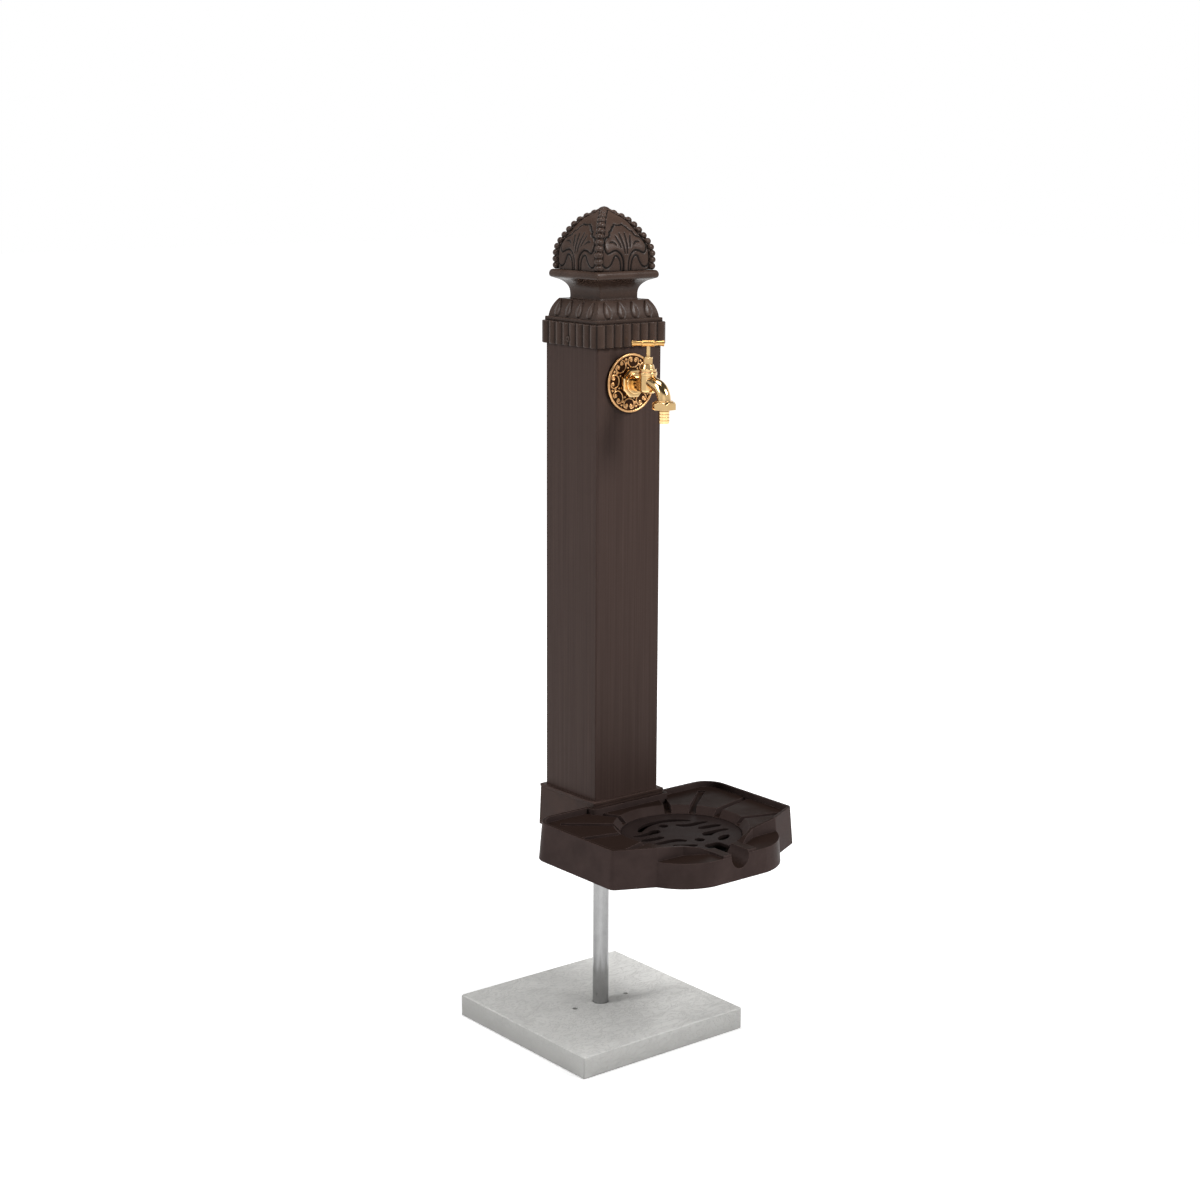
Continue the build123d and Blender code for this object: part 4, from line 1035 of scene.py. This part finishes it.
# Stage
# Each lamp: name, place, aim, width, height and power
LAMPS = (
    ("key", (1.05, -2.3, 2.75), (0.0, -0.05, 1.0), 1.0, 1.2, 84.0),
    ("left", (-2.3, 0.65, 2.3), (0.0, -0.05, 1.0), 0.8, 1.6, 38.0),
    ("top", (-0.2, 0.3, 3.4), (0.0, -0.05, 0.7), 1.4, 1.4, 42.0),
)
BLACK, WHITE = (0.0, 0.0, 0.0), (1.0, 1.0, 1.0)
SKY_GREY, WALL_GREY, CEILING_GREY = (0.10, 0.10, 0.10), (0.26, 0.26, 0.26), (0.06, 0.06, 0.06)
TO_CAMERA = (-0.627, -0.779, 0.0)
CARD_GREY = 0.66
FLOOR_DROP = 0.0005
GLOW_START, GLOW_FULL = 0.35, 1.5
CAMERA_LENS, CAMERA_SENSOR, CAMERA_SHIFT = 67.286, 36.0, -50.0 / 1200.0
CAMERA_PLACE = (-2.0672, -2.566, 1.3721)
CAMERA_TURN = (
    (0.779957, 0.113333, -0.615486),
    (-0.625819, 0.147925, -0.765813),
    (0.004254, 0.982483, 0.186301),
)


def sheet_of_light(name, spot, aim, width, height, power):
    """A rectangular area lamp at a spot, turned to its aim."""
    lamp = bpy.data.lights.new(name, "AREA")
    lamp.shape = "RECTANGLE"
    lamp.size, lamp.size_y = width, height
    lamp.energy = power
    made = new_object(name, lamp)
    made.location = spot
    made.rotation_euler = (Vector(aim) - Vector(spot)).to_track_quat("-Z", "Y").to_euler()


def light_path(tree, kind):
    """1 for rays of one kind."""
    return tree.nodes.new("ShaderNodeLightPath").outputs[kind]


def seen_rays(tree):
    """1 for the rays that show the background: the camera's own, mirrored and refracted ones."""
    mirrored = maths(tree, "MAXIMUM", light_path(tree, "Is Camera Ray"), light_path(tree, "Is Glossy Ray"))
    return maths(tree, "MAXIMUM", mirrored, light_path(tree, "Is Transmission Ray"))


def grey_cards(tree, direction):
    """Grey cards in front of the object, with a bright gap between them; white on the far side."""
    toward = vector_maths(tree, "DOT_PRODUCT", direction, TO_CAMERA)["Value"]
    cards = ramp(tree, toward, -0.55, -0.25, 1.0, CARD_GREY)
    return maths(tree, "MAXIMUM", cards, ramp(tree, toward, 0.88, 0.92))


def studio_world():
    """White to the camera; grey cards and a dark ceiling in mirrors; dim walls and sky for light."""
    world = bpy.data.worlds.new("Studio")
    bpy.context.scene.world = world
    world.use_nodes = True
    tree = world.node_tree
    background = tree.nodes["Background"]
    spots = tree.nodes.new("ShaderNodeTexCoord").outputs["Generated"]
    up = axis_value(tree, spots, "Z")
    sky = blend(tree, ramp(tree, up, 0.2, 0.6, 1.0, 0.0), SKY_GREY, WALL_GREY)
    cards = blend(tree, grey_cards(tree, spots), BLACK, WHITE)
    mirrored = blend(tree, ramp(tree, up, 0.35, 0.52), cards, CEILING_GREY)
    lit = blend(tree, seen_rays(tree), sky, mirrored)
    tree.links.new(blend(tree, light_path(tree, "Is Camera Ray"), lit, WHITE), background.inputs["Color"])
    background.inputs["Strength"].default_value = 1.0


def studio_floor(settings):
    """A pale floor that glows to white, and shows the grey cards' glow in mirrors."""
    side = settings.floor_size / 2
    mesh = bpy.data.meshes.new("studio_floor")
    corners = [(-side, -side, 0), (side, -side, 0), (side, side, 0), (-side, side, 0)]
    mesh.from_pydata(corners, [], [(0, 1, 2, 3)])
    floor = new_object("studio_floor", mesh)
    floor.location.z = -FLOOR_DROP
    made, tree, shader = material("Studio floor")
    shader.inputs["Base Color"].default_value = (*[settings.floor_white] * 3, 1.0)
    shader.inputs["Roughness"].default_value = 0.9
    shader.inputs["Specular IOR Level"].default_value = 0.0
    spots = place(tree)
    away = vector_maths(tree, "LENGTH", spots)["Value"]
    direction = vector_maths(tree, "NORMALIZE", spots)["Vector"]
    shown = maths(tree, "MAXIMUM", light_path(tree, "Is Camera Ray"), grey_cards(tree, direction))
    level = times(tree, ramp(tree, away, GLOW_START, GLOW_FULL, settings.floor_glow, 1.0), shown)
    glow = add(tree, "ShaderNodeEmission", {"Strength": times(tree, seen_rays(tree), level)})
    both = add(tree, "ShaderNodeAddShader", {0: shader.outputs[0], 1: glow.outputs[0]})
    tree.links.new(both.outputs[0], tree.nodes["Material Output"].inputs["Surface"])
    mesh.materials.append(made)


def studio_camera():
    """The photograph's camera, made level and shifted down."""
    data = bpy.data.cameras.new("camera")
    data.lens = CAMERA_LENS
    data.sensor_width = CAMERA_SENSOR
    data.shift_y = CAMERA_SHIFT
    camera = new_object("camera", data)
    camera.matrix_world = Matrix.Translation(CAMERA_PLACE) @ Matrix(CAMERA_TURN).to_4x4()
    bpy.context.scene.camera = camera


class STANDPIPE_OT_stage(Operator):
    """Pale floor, soft studio light and the camera"""

    bl_idname = "standpipe.stage"
    bl_label = "Studio"

    def execute(self, context):
        context.scene.view_settings.view_transform = "Standard"
        studio_world()
        studio_floor(settings_of(context))
        for lamp in LAMPS:
            sheet_of_light(*lamp)
        studio_camera()
        return {"FINISHED"}


class STANDPIPE_PT_panel(Panel):
    bl_label = "Garden standpipe"
    bl_idname = "STANDPIPE_PT_panel"
    bl_space_type = "VIEW_3D"
    bl_region_type = "UI"
    bl_category = "Standpipe"

    def draw(self, context):
        column = self.layout.column()
        settings = settings_of(context)
        for name in settings.bl_rna.properties.keys():
            if name not in ("rna_type", "name"):
                column.prop(settings, name)
        for operator in operators:
            column.operator(operator.bl_idname)


operators = (
    STANDPIPE_OT_post,
    STANDPIPE_OT_basin,
    STANDPIPE_OT_cap,
    STANDPIPE_OT_rosette,
    STANDPIPE_OT_tap,
    STANDPIPE_OT_footing,
    STANDPIPE_OT_stage,
)
classes = (StandpipeSettings, *operators, STANDPIPE_PT_panel)


def register():
    for each in classes:
        bpy.utils.register_class(each)
    bpy.types.Scene.standpipe = PointerProperty(type=StandpipeSettings)


def unregister():
    del bpy.types.Scene.standpipe
    for each in reversed(classes):
        bpy.utils.unregister_class(each)


def main():
    register()
    for operator in operators:
        group, name = operator.bl_idname.split(".")
        getattr(getattr(bpy.ops, group), name)()


if __name__ == "__main__":
    main()
